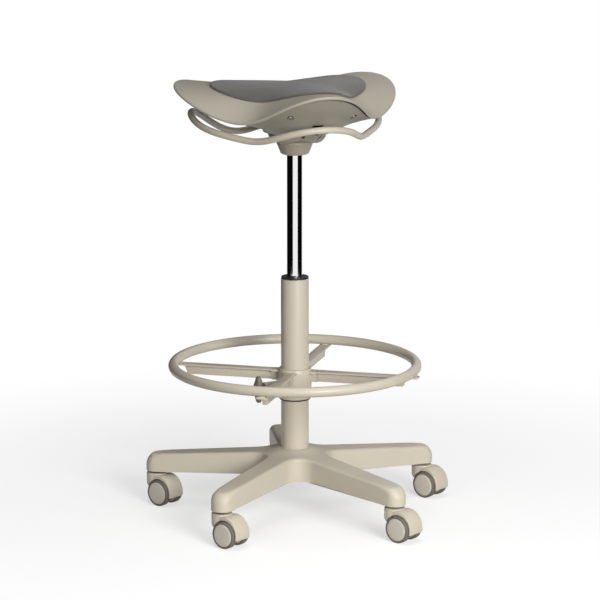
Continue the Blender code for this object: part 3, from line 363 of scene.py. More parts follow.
def carved(shape, joins=(), cuts=()):
    """Joins shapes to a shape, then cuts others out of it."""
    stock = [stand("stock", part) for part in (shape, *joins, *cuts)]
    for number, tool in enumerate(stock[1:]):
        change = stock[0].modifiers.new("change", "BOOLEAN")
        change.operation = "UNION" if number < len(joins) else "DIFFERENCE"
        change.object = tool
    result = bmesh.new()
    result.from_object(stock[0], bpy.context.evaluated_depsgraph_get())
    for part in stock:
        bpy.data.objects.remove(part)
    return result


def metal(name, colour, roughness, stretch=(1.0, 1.0, 1.0), scale=500.0):
    """Bare or plated metal with fine tool marks along one direction."""
    material, wire = blank(name)
    marks = noise(wire, scale, detail=3.0, stretch=stretch)
    surface(wire, {
        "Base Color": tone(wire, colour, marks, spread=0.06),
        "Metallic": 1.0,
        "Roughness": roughness * (0.7 + 0.6 * marks)})
    return material


def coat(material, *nodes):
    """Gives nodes that show as they are a finish."""
    for node in nodes:
        slots = frame["nodes"][node].data.materials
        slots.clear()
        slots.append(material)


greige_plastic = moulded("greige_plastic", GREIGE, roughness=0.45)
steel = metal("steel", STEEL_GREY, roughness=0.32)
blackened_steel = metal("blackened_steel", BLACKENED, roughness=0.45)

axle_height = joints["caster_1_left_roll"]["pos_m"][2]
axle_spot = Vector((TRAIL, axle_height))
hood_outline = arc(axle_spot, WELL_RADIUS + HOOD_WALL, HOOD_BACK_ANGLE, HOOD_FRONT_ANGLE, count=26)
for point in hood_outline:
    point.y += (HOOD_RISE - 1) * max(point.y - axle_height, 0.0)
hood_outline += [
    Vector((-NECK_RADIUS / 2, HOOD_TOP - 2 * HOOD_WALL)),
    Vector((-NECK_RADIUS / 2, axle_height + WEB_BOSS_RADIUS))]
hood_outline += arc(axle_spot, WEB_BOSS_RADIUS, *WEB_BOSS_ANGLES, count=10)
upright = Matrix.Rotation(math.radians(90), 4, "X")
along_axle = Matrix.Translation((TRAIL, 0, axle_height)) @ Matrix.Rotation(math.radians(-90), 4, "X")
hood_body = slab(hood_outline, -HOOD_WIDTH / 2, HOOD_WIDTH / 2, HOOD_EDGE)
bmesh.ops.transform(hood_body, matrix=upright, verts=hood_body.verts)
neck_foot = axle_height + WEB_BOSS_RADIUS
neck_top = HOOD_TOP - NECK_CLEARANCE
neck = turned(eased([
    (0, neck_top, 0), (NECK_RADIUS, neck_top, NECK_EDGE), (NECK_RADIUS, neck_foot, NECK_EDGE),
    (0, neck_foot, 0)]))
hood = carved(hood_body, [neck], [
    moved(rod(WELL_RADIUS, WEB_HALF, HOOD_WIDTH, steps=96), along_axle),
    moved(rod(WELL_RADIUS, -HOOD_WIDTH, -WEB_HALF, steps=96), along_axle),
    moved(rod(AXLE_BORE_RADIUS, -HOOD_WIDTH, HOOD_WIDTH, steps=24), along_axle),
    rod(STEM_BORE_RADIUS, HOOD_TOP - STEM_BORE_DEPTH, HOOD_TOP + HOOD_WALL, steps=32)])
for number in CASTERS:
    label = f"caster_{number}"
    axle_way = Vector(joints[f"{label}_left_roll"]["axis"])
    heading = math.atan2(axle_way.y, axle_way.x) - math.radians(90)
    foot = Vector(joints[f"{label}_swivel"]["pos_m"])
    place = Matrix.Translation((foot.x, foot.y, 0)) @ Matrix.Rotation(heading, 4, "Z")
    dress(
        f"fine_{label}_hood", moved(hood, place), greige_plastic, label, "greige_plastic",
        f"{label}_hood")
    coat(steel, f"{label}_axle")
    coat(blackened_steel, f"{label}_stem")
hood.free()


# Five-legged base: one glass-filled nylon moulding. Its legs fall gently to round ends over the
# casters, the column's cone wedges in its crowned hub, and ribs stiffen its hollow underside.
LEG_COUNT = 5
LEG_TURN = 4.7
LEG_UNDERSIDE = 0.0618
CASTER_CIRCLE_RADIUS = 0.258
LEG_END_WIDTH = 0.038
LEG_ROOT_WIDTH = 0.050
LEG_ROOT_HEIGHT = 0.0495
LEG_TIP_HEIGHT = 0.0315
LEG_ARCH = 0.006
LEG_ROUND = 0.0165
LEG_EDGE = 0.0065
LEG_MESH_STEP = 0.012
LEG_TOP_RINGS = 18
LEG_TOP_SHRINK = 0.9
TIP_DROOP = 0.0045
LEG_WALL = 0.0035
LEG_ROOF = 0.009
LEG_RIB = 0.003
LEG_BAY_COUNT = 4
WEB_FILLET = 0.030
HUB_RADIUS = 0.045
HUB_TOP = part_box("five_star_base")[1].z
CROWN_FOOT_RADIUS = 0.060
CROWN_TOP_RADIUS = 0.029
CROWN_BLEND = 0.006
HUB_BOSS_RADIUS = 0.036
HUB_BOSS_DROP = 0.001
HUB_BOSS_EDGE = 0.001
COLUMN_RADIUS = 0.025
COLUMN_FOOT_RADIUS = 0.0235
STEM_SOCKET_DEPTH = 0.0243
FIT = 0.0003

leg_step = 360 / LEG_COUNT
leg_taper = math.atan((LEG_ROOT_WIDTH - LEG_END_WIDTH) / 2 / (CASTER_CIRCLE_RADIUS - HUB_RADIUS))
hub_height = HUB_TOP - LEG_UNDERSIDE


def share_of(value, start, end):
    """How far a value has gone from a start to an end, from 0 to 1."""
    return min(max((value - start) / (end - start), 0.0), 1.0)


def along_leg(point):
    """A point's distance from the column's axis, along the leg that it is nearest to."""
    step = math.radians(leg_step)
    angle = math.atan2(point.y, point.x) - math.radians(LEG_TURN)
    return point.xy.length * math.cos((angle + step / 2) % step - step / 2)


def leg_top(point):
    """Height of the base's top over a leg's underside: a sloping leg and the hub's crown, blended."""
    reach = along_leg(point)
    tip = CASTER_CIRCLE_RADIUS + LEG_END_WIDTH / 2
    leg = LEG_ROOT_HEIGHT + (LEG_TIP_HEIGHT - LEG_ROOT_HEIGHT) * share_of(reach, HUB_RADIUS, tip)
    leg -= TIP_DROOP * share_of(reach, CASTER_CIRCLE_RADIUS, tip) ** 2
    slope = 2 * (hub_height - LEG_ROOT_HEIGHT) / (CROWN_FOOT_RADIUS - CROWN_TOP_RADIUS)
    crown = hub_height - slope * (point.xy.length - CROWN_TOP_RADIUS)
    near = max(CROWN_BLEND - abs(leg - crown), 0.0) / CROWN_BLEND
    return min(max(leg, crown) + near ** 2 * CROWN_BLEND / 4, hub_height)


def leg_drop(inset, reach):
    """How far the top's rim falls at an inset from the side: tight, but full round a leg's end."""
    share = min(max((reach - CASTER_CIRCLE_RADIUS) / LEG_END_WIDTH + 0.5, 0.0), 1.0)
    radius = LEG_EDGE + (LEG_ROUND - LEG_EDGE) * share ** 2 * (3 - 2 * share)
    return radius - math.sqrt(radius ** 2 - max(radius - inset, 0.0) ** 2)


def star_outline():
    """Round leg ends and the concave fillets between them, joined by straight sides in short steps."""
    taper = math.degrees(leg_taper)
    end_radius = LEG_END_WIDTH / 2
    side_reach = WEB_FILLET + end_radius + CASTER_CIRCLE_RADIUS * math.sin(leg_taper)
    fillet_reach = side_reach / math.sin(math.radians(leg_step / 2 + taper))
    outline = []
    for leg in range(LEG_COUNT):
        turn = LEG_TURN + leg_step * leg
        end = polar(CASTER_CIRCLE_RADIUS, turn)
        web = polar(fillet_reach, turn + leg_step / 2)
        outline += arc(end, end_radius, turn - 90 + taper, turn + 90 - taper, count=20)
        outline += arc(web, WEB_FILLET, turn + 270 - taper, turn + leg_step + 90 + taper, count=14)
    stepped = []
    for here, ahead in zip(outline, outline[1:] + outline[:1]):
        count = math.ceil((ahead - here).length / LEG_MESH_STEP)
        stepped += [here.lerp(ahead, step / count) for step in range(count)]
    return stepped


star = slab(star_outline(), LEG_UNDERSIDE, HUB_TOP)
halfway = LEG_UNDERSIDE + hub_height / 2
top_rim = [edge for edge in star.edges if min(vert.co.z for vert in edge.verts) > halfway]
soften(star, top_rim, LEG_ROUND, segments=8)
top = max(star.faces, key=lambda face: face.calc_center_median().z)
for ring in range(LEG_TOP_RINGS):
    grown = bmesh.ops.extrude_face_region(star, geom=[top])
    top_verts = [part for part in grown["geom"] if isinstance(part, bmesh.types.BMVert)]
    bmesh.ops.delete(star, geom=[top], context="FACES")
    top = next(part for part in grown["geom"] if isinstance(part, bmesh.types.BMFace))
    bmesh.ops.scale(star, vec=(LEG_TOP_SHRINK, LEG_TOP_SHRINK, 1), verts=top_verts)
for vert in star.verts:
    reach = along_leg(vert.co)
    if vert.co.z > halfway:
        level = 1 - (HUB_TOP - vert.co.z) / LEG_ROUND
        inset = LEG_ROUND * (1 - math.sqrt(max(1 - level ** 2, 0.0)))
        vert.co.z = LEG_UNDERSIDE + leg_top(vert.co) - leg_drop(inset, reach)
    else:
        vert.co.z += LEG_ARCH * share_of(reach, CASTER_CIRCLE_RADIUS, 2 * HUB_RADIUS)
bmesh.ops.recalc_face_normals(star, faces=star.faces)

hub_boss = turned(eased([
    (0, LEG_UNDERSIDE + LEG_ARCH + HUB_BOSS_DROP, 0),
    (HUB_BOSS_RADIUS, LEG_UNDERSIDE + LEG_ARCH + HUB_BOSS_DROP, 0),
    (HUB_BOSS_RADIUS, LEG_UNDERSIDE - HUB_BOSS_DROP, HUB_BOSS_EDGE),
    (0, LEG_UNDERSIDE - HUB_BOSS_DROP, 0)]))
column_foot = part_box("column_tube")[0].z
cone_slope = (COLUMN_RADIUS - COLUMN_FOOT_RADIUS) / (HUB_TOP - column_foot)
cone_reach = column_foot - LEG_UNDERSIDE + 2 * HUB_BOSS_DROP
hub_bore = rod(
    COLUMN_FOOT_RADIUS + FIT - cone_slope * cone_reach, column_foot - cone_reach,
    HUB_TOP + cone_reach, top_radius=COLUMN_RADIUS + FIT + cone_slope * cone_reach)
bay_start = HUB_RADIUS + LEG_WALL
bay_end = CASTER_CIRCLE_RADIUS - STEM_BORE_RADIUS - 2 * LEG_WALL
bay_length = (bay_end - bay_start + LEG_RIB) / LEG_BAY_COUNT
hollows = bmesh.new()
for leg in range(LEG_COUNT):
    leg_place = Matrix.Rotation(math.radians(LEG_TURN + leg_step * leg), 4, "Z")
    socket = leg_place @ Matrix.Translation((
        CASTER_CIRCLE_RADIUS, 0, LEG_UNDERSIDE + STEM_SOCKET_DEPTH - LEG_WALL))
    bmesh.ops.create_cone(
        hollows, cap_ends=True, segments=32, radius1=STEM_BORE_RADIUS, radius2=STEM_BORE_RADIUS,
        depth=2 * STEM_SOCKET_DEPTH - LEG_WALL,
        matrix=socket @ Matrix.Translation((0, 0, -STEM_SOCKET_DEPTH / 2)))
    for bay in range(LEG_BAY_COUNT):
        near = bay_start + bay_length * bay
        far = near + bay_length - LEG_RIB
        for side in (1, -1):
            corners = bmesh.ops.create_cube(hollows, size=1.0)["verts"]
            for vert in corners:
                reach = far if vert.co.x > 0 else near
                spread = (CASTER_CIRCLE_RADIUS - reach) * math.tan(leg_taper)
                flank = LEG_END_WIDTH / 2 + spread - LEG_WALL
                deep = LEG_UNDERSIDE + leg_top(leg_place @ Vector((reach, 0, 0))) - LEG_ROOF
                vert.co.y = side * (flank if vert.co.y > 0 else LEG_RIB / 2)
                vert.co.z = deep if vert.co.z > 0 else LEG_UNDERSIDE - LEG_WALL
                vert.co.x = reach
            bmesh.ops.transform(hollows, matrix=leg_place, verts=corners)
bmesh.ops.recalc_face_normals(hollows, faces=hollows.faces)
base = carved(star, [hub_boss], [hub_bore, hollows])
dress("fine_five_star_base", base, greige_plastic, "base", "greige_plastic", "five_star_base")


# Gas lift: a painted steel column tube, a black guide bush with a collar at its top, and the
# chromed pressure cylinder that slides and turns in it. The rod, bearing and clip are inside.
COLUMN_WALL = 0.002
COLUMN_FLOOR = 0.003
COLUMN_LIP = 0.0009
ROD_HOLE_RADIUS = 0.0053
BUSH_EDGE = 0.0016
CYLINDER_TIP_RADIUS = 0.0132
CYLINDER_TIP_EDGE = 0.0006
CYLINDER_FOOT_EDGE = 0.001
CYLINDER_WALL = 0.002
CYLINDER_END = 0.010
BUTTON_HOLE_RADIUS = 0.0043
CHROME_COLOUR = (0.86, 0.86, 0.87)
BLACK = (0.010, 0.010, 0.010)


def painted(name, colour, roughness):
    """Powder coat on steel: an even satin colour over a soft orange peel."""
    material, wire = blank(name)
    peel = noise(wire, scale=330.0, detail=1.0)
    speck = noise(wire, scale=2400.0)
    drift = noise(wire, scale=5.0, detail=3.0)
    surface(wire, {
        "Base Color": tone(wire, colour, 0.6 * drift + 0.4 * speck, spread=0.06),
        "Roughness": roughness + 0.12 * (speck - 0.5),
        "Normal": relief(wire, peel + 0.25 * speck, strength=0.5, depth=0.0001),
        "Specular IOR Level": 0.4})
    return material


greige_paint = painted("greige_paint", GREIGE, roughness=0.38)
black_plastic = moulded("black_plastic", BLACK, roughness=0.55)
chrome = metal("chrome", CHROME_COLOUR, roughness=0.05, stretch=(1.0, 1.0, 0.01), scale=900.0)

column_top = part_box("column_tube")[1].z
column = turned(eased([
    (COLUMN_RADIUS, column_top, COLUMN_LIP), (COLUMN_RADIUS, HUB_TOP, 0),
    (COLUMN_FOOT_RADIUS, column_foot, COLUMN_LIP), (ROD_HOLE_RADIUS, column_foot, 0),
    (ROD_HOLE_RADIUS, column_foot + COLUMN_FLOOR, 0),
    (COLUMN_FOOT_RADIUS - COLUMN_WALL, column_foot + COLUMN_FLOOR, 0),
    (COLUMN_RADIUS - COLUMN_WALL, HUB_TOP, 0),
    (COLUMN_RADIUS - COLUMN_WALL, column_top, COLUMN_LIP / 2)], closed=True), ring=True, steps=96)
dress("fine_column_tube", column, greige_paint, "base", "greige_paint", "column_tube")

bush_low, bush_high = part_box("guide_bush")
cylinder_low, cylinder_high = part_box("pressure_cylinder")
cylinder_radius = cylinder_high.x
cup_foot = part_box("mechanism_housing")[0].z
sleeve_radius = COLUMN_RADIUS - COLUMN_WALL - FIT
bush = turned(eased([
    (bush_high.x, bush_high.z, BUSH_EDGE), (bush_high.x, column_top + FIT, 0),
    (sleeve_radius, column_top + FIT, 0),
    (sleeve_radius, bush_low.z, 0), (cylinder_radius + FIT, bush_low.z, 0),
    (cylinder_radius + FIT, bush_high.z, BUSH_EDGE / 2)], closed=True), ring=True, steps=96)
dress("fine_guide_bush", bush, black_plastic, "base", "black_plastic", "guide_bush")

chamber = cylinder_radius - CYLINDER_WALL
cylinder = turned(eased([
    (CYLINDER_TIP_RADIUS, cylinder_high.z, CYLINDER_TIP_EDGE), (cylinder_radius, cup_foot, 0),
    (cylinder_radius, cylinder_low.z, CYLINDER_FOOT_EDGE),
    (ROD_HOLE_RADIUS, cylinder_low.z, 0), (ROD_HOLE_RADIUS, cylinder_low.z + CYLINDER_END, 0),
    (chamber, cylinder_low.z + CYLINDER_END, 0), (chamber, cup_foot - CYLINDER_END, 0),
    (CYLINDER_TIP_RADIUS - CYLINDER_WALL, cylinder_high.z - CYLINDER_END, 0),
    (BUTTON_HOLE_RADIUS, cylinder_high.z - CYLINDER_END, 0), (BUTTON_HOLE_RADIUS, cylinder_high.z, 0)],
    closed=True), ring=True, steps=96)
dress("fine_pressure_cylinder", cylinder, chrome, "seat", "chrome", "pressure_cylinder")
coat(steel, "thrust_bearing", "piston_rod", "retaining_clip", "valve_button")


# Foot ring: a bent and welded steel tube on four pressed channel spokes, all powder coated. The
# spokes bolt to a moulded hub that slides on the column with a black liner between them.
RING_HEIGHT = joints["foot_ring_turn"]["pos_m"][2]
RING_TUBE_RADIUS = 0.009
RING_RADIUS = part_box("foot_ring")[1].x - RING_TUBE_RADIUS
SPOKE_COUNT = 4
SPOKE_TURN = 55.0
SPOKE_HALF = 0.010
SPOKE_PLATE = 0.003
SPOKE_EDGE = 0.0008
SPOKE_WEB_HALF = 0.004
SPOKE_WEB_HEIGHT = 0.016
SPOKE_WEB_SHORT = 0.012
SPOKE_WEB_SLANT = 0.006
SPOKE_WEB_ROUND = 0.003
SPOKE_SHEET = 0.002
SPOKE_TIP = 0.001
SPOKE_TIP_ROUND = 0.004
WELD_OFFSET = 0.00495
WELD_SIZE = (0.0021, 0.0075, 0.00189)
HUB_STUB = 0.012
HUB_STUB_MARGIN = 0.001
HUB_STUB_EDGE = 0.0008
HUB_STUB_ROOT = 0.0255
RING_HUB_RADIUS = 0.030
RING_HUB_TOP_RADIUS = 0.02875
RING_HUB_FOOT_RADIUS = 0.029
RING_HUB_CHAMFER = 0.006
RING_HUB_BEND = 0.004
RING_HUB_EDGE = 0.0012
RING_HUB_LIP = 0.003
LINER_BORE_RADIUS = 0.0253
LINER_SKIN_RADIUS = 0.0275
LINER_EDGE = 0.0004
LINER_FOOT_EDGE = 0.0006
CLAMP_AXIS = Vector(joints["knob_turn"]["axis"])
CLAMP_HEIGHT = joints["knob_turn"]["pos_m"][2]
CLAMP_BOSS_RADIUS = 0.012
CLAMP_BOSS_REACH = 0.064
CLAMP_SCREW_HOLE = 0.0043
CLAMP_PAD_HOLE = 0.0058
CLAMP_PAD_END = 0.0351


def oblong(left, front, right, back):
    """The four corners of a rectangle."""
    return [(left, front), (right, front), (right, back), (left, back)]


spoke_top = RING_HEIGHT - RING_TUBE_RADIUS - FIT
hub_low, hub_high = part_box("foot_ring_hub")
liner_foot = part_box("hub_liner")[0].z
spoke_turns = [
    Matrix.Rotation(2 * math.pi * number / SPOKE_COUNT + math.radians(SPOKE_TURN), 4, "Z")
    for number in range(SPOKE_COUNT)]

ring_section = arc(Vector((RING_RADIUS, RING_HEIGHT)), RING_TUBE_RADIUS, 0, 360, count=28)[:-1]
ring_tube = turned(ring_section, ring=True, steps=192)
dress("fine_foot_ring", ring_tube, greige_paint, "ring", "greige_paint", "foot_ring")

spoke_start = RING_HUB_RADIUS + HUB_STUB + FIT
spoke_end = RING_RADIUS + RING_TUBE_RADIUS + SPOKE_TIP
web_end = RING_RADIUS - SPOKE_WEB_SHORT
plate_low = spoke_top - SPOKE_PLATE
web_low = plate_low - SPOKE_WEB_HEIGHT
strap = slab(eased([
    (spoke_start, -SPOKE_HALF, 0), (spoke_end, -SPOKE_HALF, SPOKE_TIP_ROUND),
    (spoke_end, SPOKE_HALF, SPOKE_TIP_ROUND), (spoke_start, SPOKE_HALF, 0)], closed=True),
    plate_low, spoke_top, SPOKE_EDGE)
channel = slab(eased([
    (spoke_start, plate_low + SPOKE_PLATE / 2, 0), (spoke_start, web_low, 0),
    (web_end - SPOKE_WEB_SLANT, web_low, SPOKE_WEB_ROUND), (web_end, plate_low, 0),
    (web_end, plate_low + SPOKE_PLATE / 2, 0)], closed=True),
    -SPOKE_WEB_HALF, SPOKE_WEB_HALF, SPOKE_EDGE)
bmesh.ops.transform(channel, matrix=upright, verts=channel.verts)
hollow_end = web_end - SPOKE_WEB_SLANT - SPOKE_SHEET
hollow_half = SPOKE_WEB_HALF - SPOKE_SHEET
hollow = slab(
    oblong(spoke_start + SPOKE_SHEET, -hollow_half, hollow_end, hollow_half),
    web_low - SPOKE_SHEET, plate_low - SPOKE_SHEET)
welds = bmesh.new()
for side in (1, -1):
    crevice = Matrix.Translation((RING_RADIUS + side * WELD_OFFSET, 0, spoke_top))
    bead = crevice @ Matrix.Diagonal((*WELD_SIZE, 1))
    bmesh.ops.create_uvsphere(welds, u_segments=20, v_segments=12, radius=1.0, matrix=bead)
spoke = carved(strap, [channel, welds], [hollow])
for number, turn in enumerate(spoke_turns):
    label = f"spoke_{number + 1}"
    dress(f"fine_{label}", moved(spoke, turn), greige_paint, "ring", "greige_paint", label)
spoke.free()

clamp_place = facing((0, 0, CLAMP_HEIGHT), CLAMP_AXIS)
hub_body = turned(eased([
    (0, hub_high.z, 0), (RING_HUB_TOP_RADIUS, hub_high.z, RING_HUB_EDGE),
    (RING_HUB_RADIUS, hub_high.z - RING_HUB_CHAMFER, RING_HUB_BEND),
    (RING_HUB_RADIUS, hub_low.z + RING_HUB_CHAMFER, RING_HUB_BEND),
    (RING_HUB_FOOT_RADIUS, hub_low.z, RING_HUB_EDGE), (0, hub_low.z, 0)]), steps=96)
arms = []
arm_half = SPOKE_HALF + HUB_STUB_MARGIN
arm_web_half = SPOKE_WEB_HALF + HUB_STUB_MARGIN
arm_middle = plate_low - HUB_STUB_MARGIN
arm_low = web_low - HUB_STUB_MARGIN
arm_section = eased([
    (-spoke_top, -arm_half, HUB_STUB_EDGE), (-spoke_top, arm_half, HUB_STUB_EDGE),
    (-arm_middle, arm_half, HUB_STUB_EDGE), (-arm_middle, arm_web_half, 0),
    (-arm_low, arm_web_half, HUB_STUB_EDGE), (-arm_low, -arm_web_half, HUB_STUB_EDGE),
    (-arm_middle, -arm_web_half, 0), (-arm_middle, -arm_half, HUB_STUB_EDGE)],
    closed=True, steps=3)
lying = Matrix.Rotation(math.radians(90), 4, "Y")
for turn in spoke_turns:
    arm = slab(arm_section, HUB_STUB_ROOT, RING_HUB_RADIUS + HUB_STUB)
    bmesh.ops.transform(arm, matrix=turn @ lying, verts=arm.verts)
    arms.append(arm)
clamp_boss = turned(eased([
    (0, CLAMP_BOSS_REACH, 0), (CLAMP_BOSS_RADIUS, CLAMP_BOSS_REACH, RING_HUB_EDGE),
    (CLAMP_BOSS_RADIUS, HUB_STUB_ROOT, 0), (0, HUB_STUB_ROOT, 0)]))
clamp_hole = turned([
    (0, CLAMP_BOSS_REACH + RING_HUB_LIP), (CLAMP_SCREW_HOLE, CLAMP_BOSS_REACH + RING_HUB_LIP),
    (CLAMP_SCREW_HOLE, CLAMP_PAD_END), (CLAMP_PAD_HOLE, CLAMP_PAD_END),
    (CLAMP_PAD_HOLE, RING_HUB_RADIUS / 2), (0, RING_HUB_RADIUS / 2)], steps=32)
lip_foot = hub_high.z - RING_HUB_LIP
hub_core = turned([
    (0, hub_high.z + RING_HUB_LIP), (LINER_BORE_RADIUS, hub_high.z + RING_HUB_LIP),
    (LINER_BORE_RADIUS, lip_foot), (LINER_SKIN_RADIUS + FIT, lip_foot),
    (LINER_SKIN_RADIUS + FIT, hub_low.z - RING_HUB_LIP), (0, hub_low.z - RING_HUB_LIP)], steps=96)
ring_hub = carved(
    hub_body, [*arms, moved(clamp_boss, clamp_place)], [hub_core, moved(clamp_hole, clamp_place)])
dress("fine_foot_ring_hub", ring_hub, greige_plastic, "ring", "greige_plastic", "foot_ring_hub")
flange_radius = RING_HUB_FOOT_RADIUS - RING_HUB_LIP / 3
liner = turned(eased([
    (LINER_SKIN_RADIUS, lip_foot - FIT, LINER_EDGE), (LINER_SKIN_RADIUS, hub_low.z - FIT, 0),
    (flange_radius, hub_low.z - FIT, LINER_EDGE), (flange_radius, liner_foot, LINER_FOOT_EDGE),
    (LINER_BORE_RADIUS, liner_foot, LINER_EDGE), (LINER_BORE_RADIUS, lip_foot - FIT, LINER_EDGE)],
    closed=True), ring=True, steps=96)
dress("fine_hub_liner", liner, black_plastic, "ring_carrier", "black_plastic", "hub_liner")


# Foot ring clamp: a wing knob moulded on a steel screw, thick at its waist and narrow at its two
# tips, which presses a small pad on the column's liner. A dished cap closes the knob's face.
KNOB_START = 0.0655
KNOB_THICKNESS = 0.016
KNOB_HALF_LENGTH = 0.024
KNOB_HALF_WIDTH = 0.012
KNOB_TIP_HALF = 0.0045
KNOB_WAIST_ROUND = 0.016
KNOB_TIP_ROUND = 0.0038
KNOB_EDGE = 0.0034
KNOB_TIP_THINNING = 0.6
KNOB_CAP_RADIUS = 0.0065
KNOB_CAP_DISH = 0.0009
KNOB_CAP_EDGE = 0.0004
KNOB_BORE_END = 0.0778
# The knob's dark warm grey stands for a greige knob in the shade under the ring: painted shade.
KNOB_PAINTED_SHADE = (0.205, 0.188, 0.150)

knob_plastic = moulded("knob_plastic", KNOB_PAINTED_SHADE, roughness=0.48)
knob_outline = eased([
    (KNOB_HALF_LENGTH, -KNOB_TIP_HALF, KNOB_TIP_ROUND),
    (KNOB_HALF_LENGTH, KNOB_TIP_HALF, KNOB_TIP_ROUND), (0, KNOB_HALF_WIDTH, KNOB_WAIST_ROUND),
    (-KNOB_HALF_LENGTH, KNOB_TIP_HALF, KNOB_TIP_ROUND),
    (-KNOB_HALF_LENGTH, -KNOB_TIP_HALF, KNOB_TIP_ROUND), (0, -KNOB_HALF_WIDTH, KNOB_WAIST_ROUND)],
    closed=True)
knob_end = KNOB_START + KNOB_THICKNESS
knob_middle = KNOB_START + KNOB_THICKNESS / 2
wings = slab(knob_outline, KNOB_START, knob_end, KNOB_EDGE, segments=5)
bmesh.ops.bisect_plane(
    wings, geom=wings.verts[:] + wings.edges[:] + wings.faces[:], plane_co=(0, 0, 0),
    plane_no=(1, 0, 0))
for vert in wings.verts:
    thickness = 1 - KNOB_TIP_THINNING * abs(vert.co.x) / KNOB_HALF_LENGTH
    vert.co.z = knob_middle + (vert.co.z - knob_middle) * thickness
knob_dish = turned(eased([
    (0, knob_end + KNOB_EDGE, 0), (KNOB_CAP_RADIUS, knob_end + KNOB_EDGE, 0),
    (KNOB_CAP_RADIUS, knob_end - KNOB_CAP_DISH, KNOB_CAP_EDGE), (0, knob_end - KNOB_CAP_DISH, 0)]))
knob_bore = rod(CLAMP_SCREW_HOLE, KNOB_START - KNOB_EDGE, KNOB_BORE_END, steps=32)
knob = carved(wings, cuts=[knob_dish, knob_bore])
knob_upright = Matrix.Translation((0, 0, CLAMP_HEIGHT)) @ Matrix.Rotation(
    math.atan2(CLAMP_AXIS.y, CLAMP_AXIS.x), 4, "Z") @ lying
# The knob wears its painted-shade grey.
dress("fine_clamp_knob", moved(knob, knob_upright), knob_plastic, "knob", "knob_plastic", "clamp_knob")
knob.free()
coat(steel, "clamp_screw")
coat(black_plastic, "clamp_pad")


# Lift mechanism: a cast and painted housing under the seat, whose cup grips the cylinder's
# cone. A steel pin through two cheeks carries the release lever's yoke over the valve button.
CUP_FOOT_RADIUS = 0.0250
CUP_TOP_RADIUS = 0.0325
CUP_HEIGHT = 0.0205
CUP_EDGE = 0.004
BOX_LEFT = 0.044
BOX_RIGHT = 0.052
BOX_HALF_DEPTH = 0.036
BOX_HEIGHT = 0.0225
BOX_ROUND = 0.019
POCKET_SPOT = (0.0028, 0.6868)
POCKET_RADIUS = 0.0029
POCKET_DEPTH = 0.012
GROOVE_SPOT = (0.0315, 0.6855)
GROOVE_SIZE = (0.0060, 0.015)
GROOVE_LEAN = 50.0
CHEEK_IN = 0.0083
CHEEK_THICKNESS = 0.005
CHEEK_LENGTH = 0.012
CHEEK_EDGE = 0.0008
PIN_BORE_RADIUS = 0.0033
# The housing's colour is its greige paint darkened: painted shade for the seat's shadow over the cup.
HOUSING_PAINTED_SHADE = (0.300, 0.268, 0.212)


def brick(place, size):
    """A plain block of a size, in its place."""
    shape = bmesh.new()
    bmesh.ops.create_cube(shape, size=1.0, matrix=place @ Matrix.Diagonal((*size, 1)))
    return shape


housing_paint = painted("housing_paint", HOUSING_PAINTED_SHADE, roughness=0.42)
pivot = Vector(joints["lever_lift"]["pos_m"])
box_foot = cup_foot + CUP_HEIGHT
box_top = box_foot + BOX_HEIGHT
cup = turned(eased([
    (0, box_top - BOX_ROUND, 0), (CUP_TOP_RADIUS, box_top - BOX_ROUND, 0),
    (CUP_TOP_RADIUS, box_foot, CUP_EDGE), (CUP_FOOT_RADIUS, cup_foot + CUP_EDGE / 2, CUP_EDGE),
    (CUP_FOOT_RADIUS - CUP_EDGE, cup_foot, CUP_EDGE / 2), (0, cup_foot, 0)]), steps=96)
block_middle = Vector(((BOX_RIGHT - BOX_LEFT) / 2, 0, (box_foot + box_top) / 2))
block = brick(
    Matrix.Translation(block_middle), (BOX_LEFT + BOX_RIGHT, 2 * BOX_HALF_DEPTH, BOX_HEIGHT))
round_edges = [
    edge for edge in block.edges if min(vert.co.z for vert in edge.verts) < block_middle.z]
soften(block, round_edges, BOX_ROUND, segments=8)
cheek_foot = box_foot + BOX_ROUND
cheek_top = pivot.z + CHEEK_LENGTH / 2
cheeks = []
for side in (1, -1):
    cheek_spot = (side * (CHEEK_IN + CHEEK_THICKNESS / 2), pivot.y, (cheek_foot + cheek_top) / 2)
    cheek = brick(
        Matrix.Translation(cheek_spot), (CHEEK_THICKNESS, CHEEK_LENGTH, cheek_top - cheek_foot))
    soften(cheek, list(cheek.edges), CHEEK_EDGE, segments=2)
    cheeks.append(cheek)
tip_slope = (cylinder_radius - CYLINDER_TIP_RADIUS) / (cylinder_high.z - cup_foot)
cone_socket = rod(
    cylinder_radius + FIT + tip_slope * BOX_ROUND, cup_foot - BOX_ROUND, cylinder_high.z + BOX_ROUND,
    top_radius=CYLINDER_TIP_RADIUS + FIT - tip_slope * BOX_ROUND)
pin_way = facing(pivot, (1, 0, 0))
pocket_place = facing((POCKET_SPOT[0], -BOX_HALF_DEPTH, POCKET_SPOT[1]), (0, -1, 0))
groove_place = Matrix.Translation((GROOVE_SPOT[0], -BOX_HALF_DEPTH, GROOVE_SPOT[1]))
groove_lean = Matrix.Rotation(math.radians(GROOVE_LEAN), 4, "Y")
groove = brick(groove_place @ groove_lean, (GROOVE_SIZE[0], POCKET_DEPTH, GROOVE_SIZE[1]))
pin_bore = moved(rod(PIN_BORE_RADIUS, -BOX_LEFT, BOX_RIGHT, steps=32), pin_way)
pocket = moved(rod(POCKET_RADIUS, -POCKET_DEPTH, POCKET_DEPTH, steps=24), pocket_place)
housing = carved(block, [cup, *cheeks], [cone_socket, pin_bore.copy(), pocket, groove])
# The housing wears its paint darkened as painted shade.
dress("fine_mechanism_housing", housing, housing_paint, "seat", "housing_paint", "mechanism_housing")
coat(steel, "lever_pivot_pin")


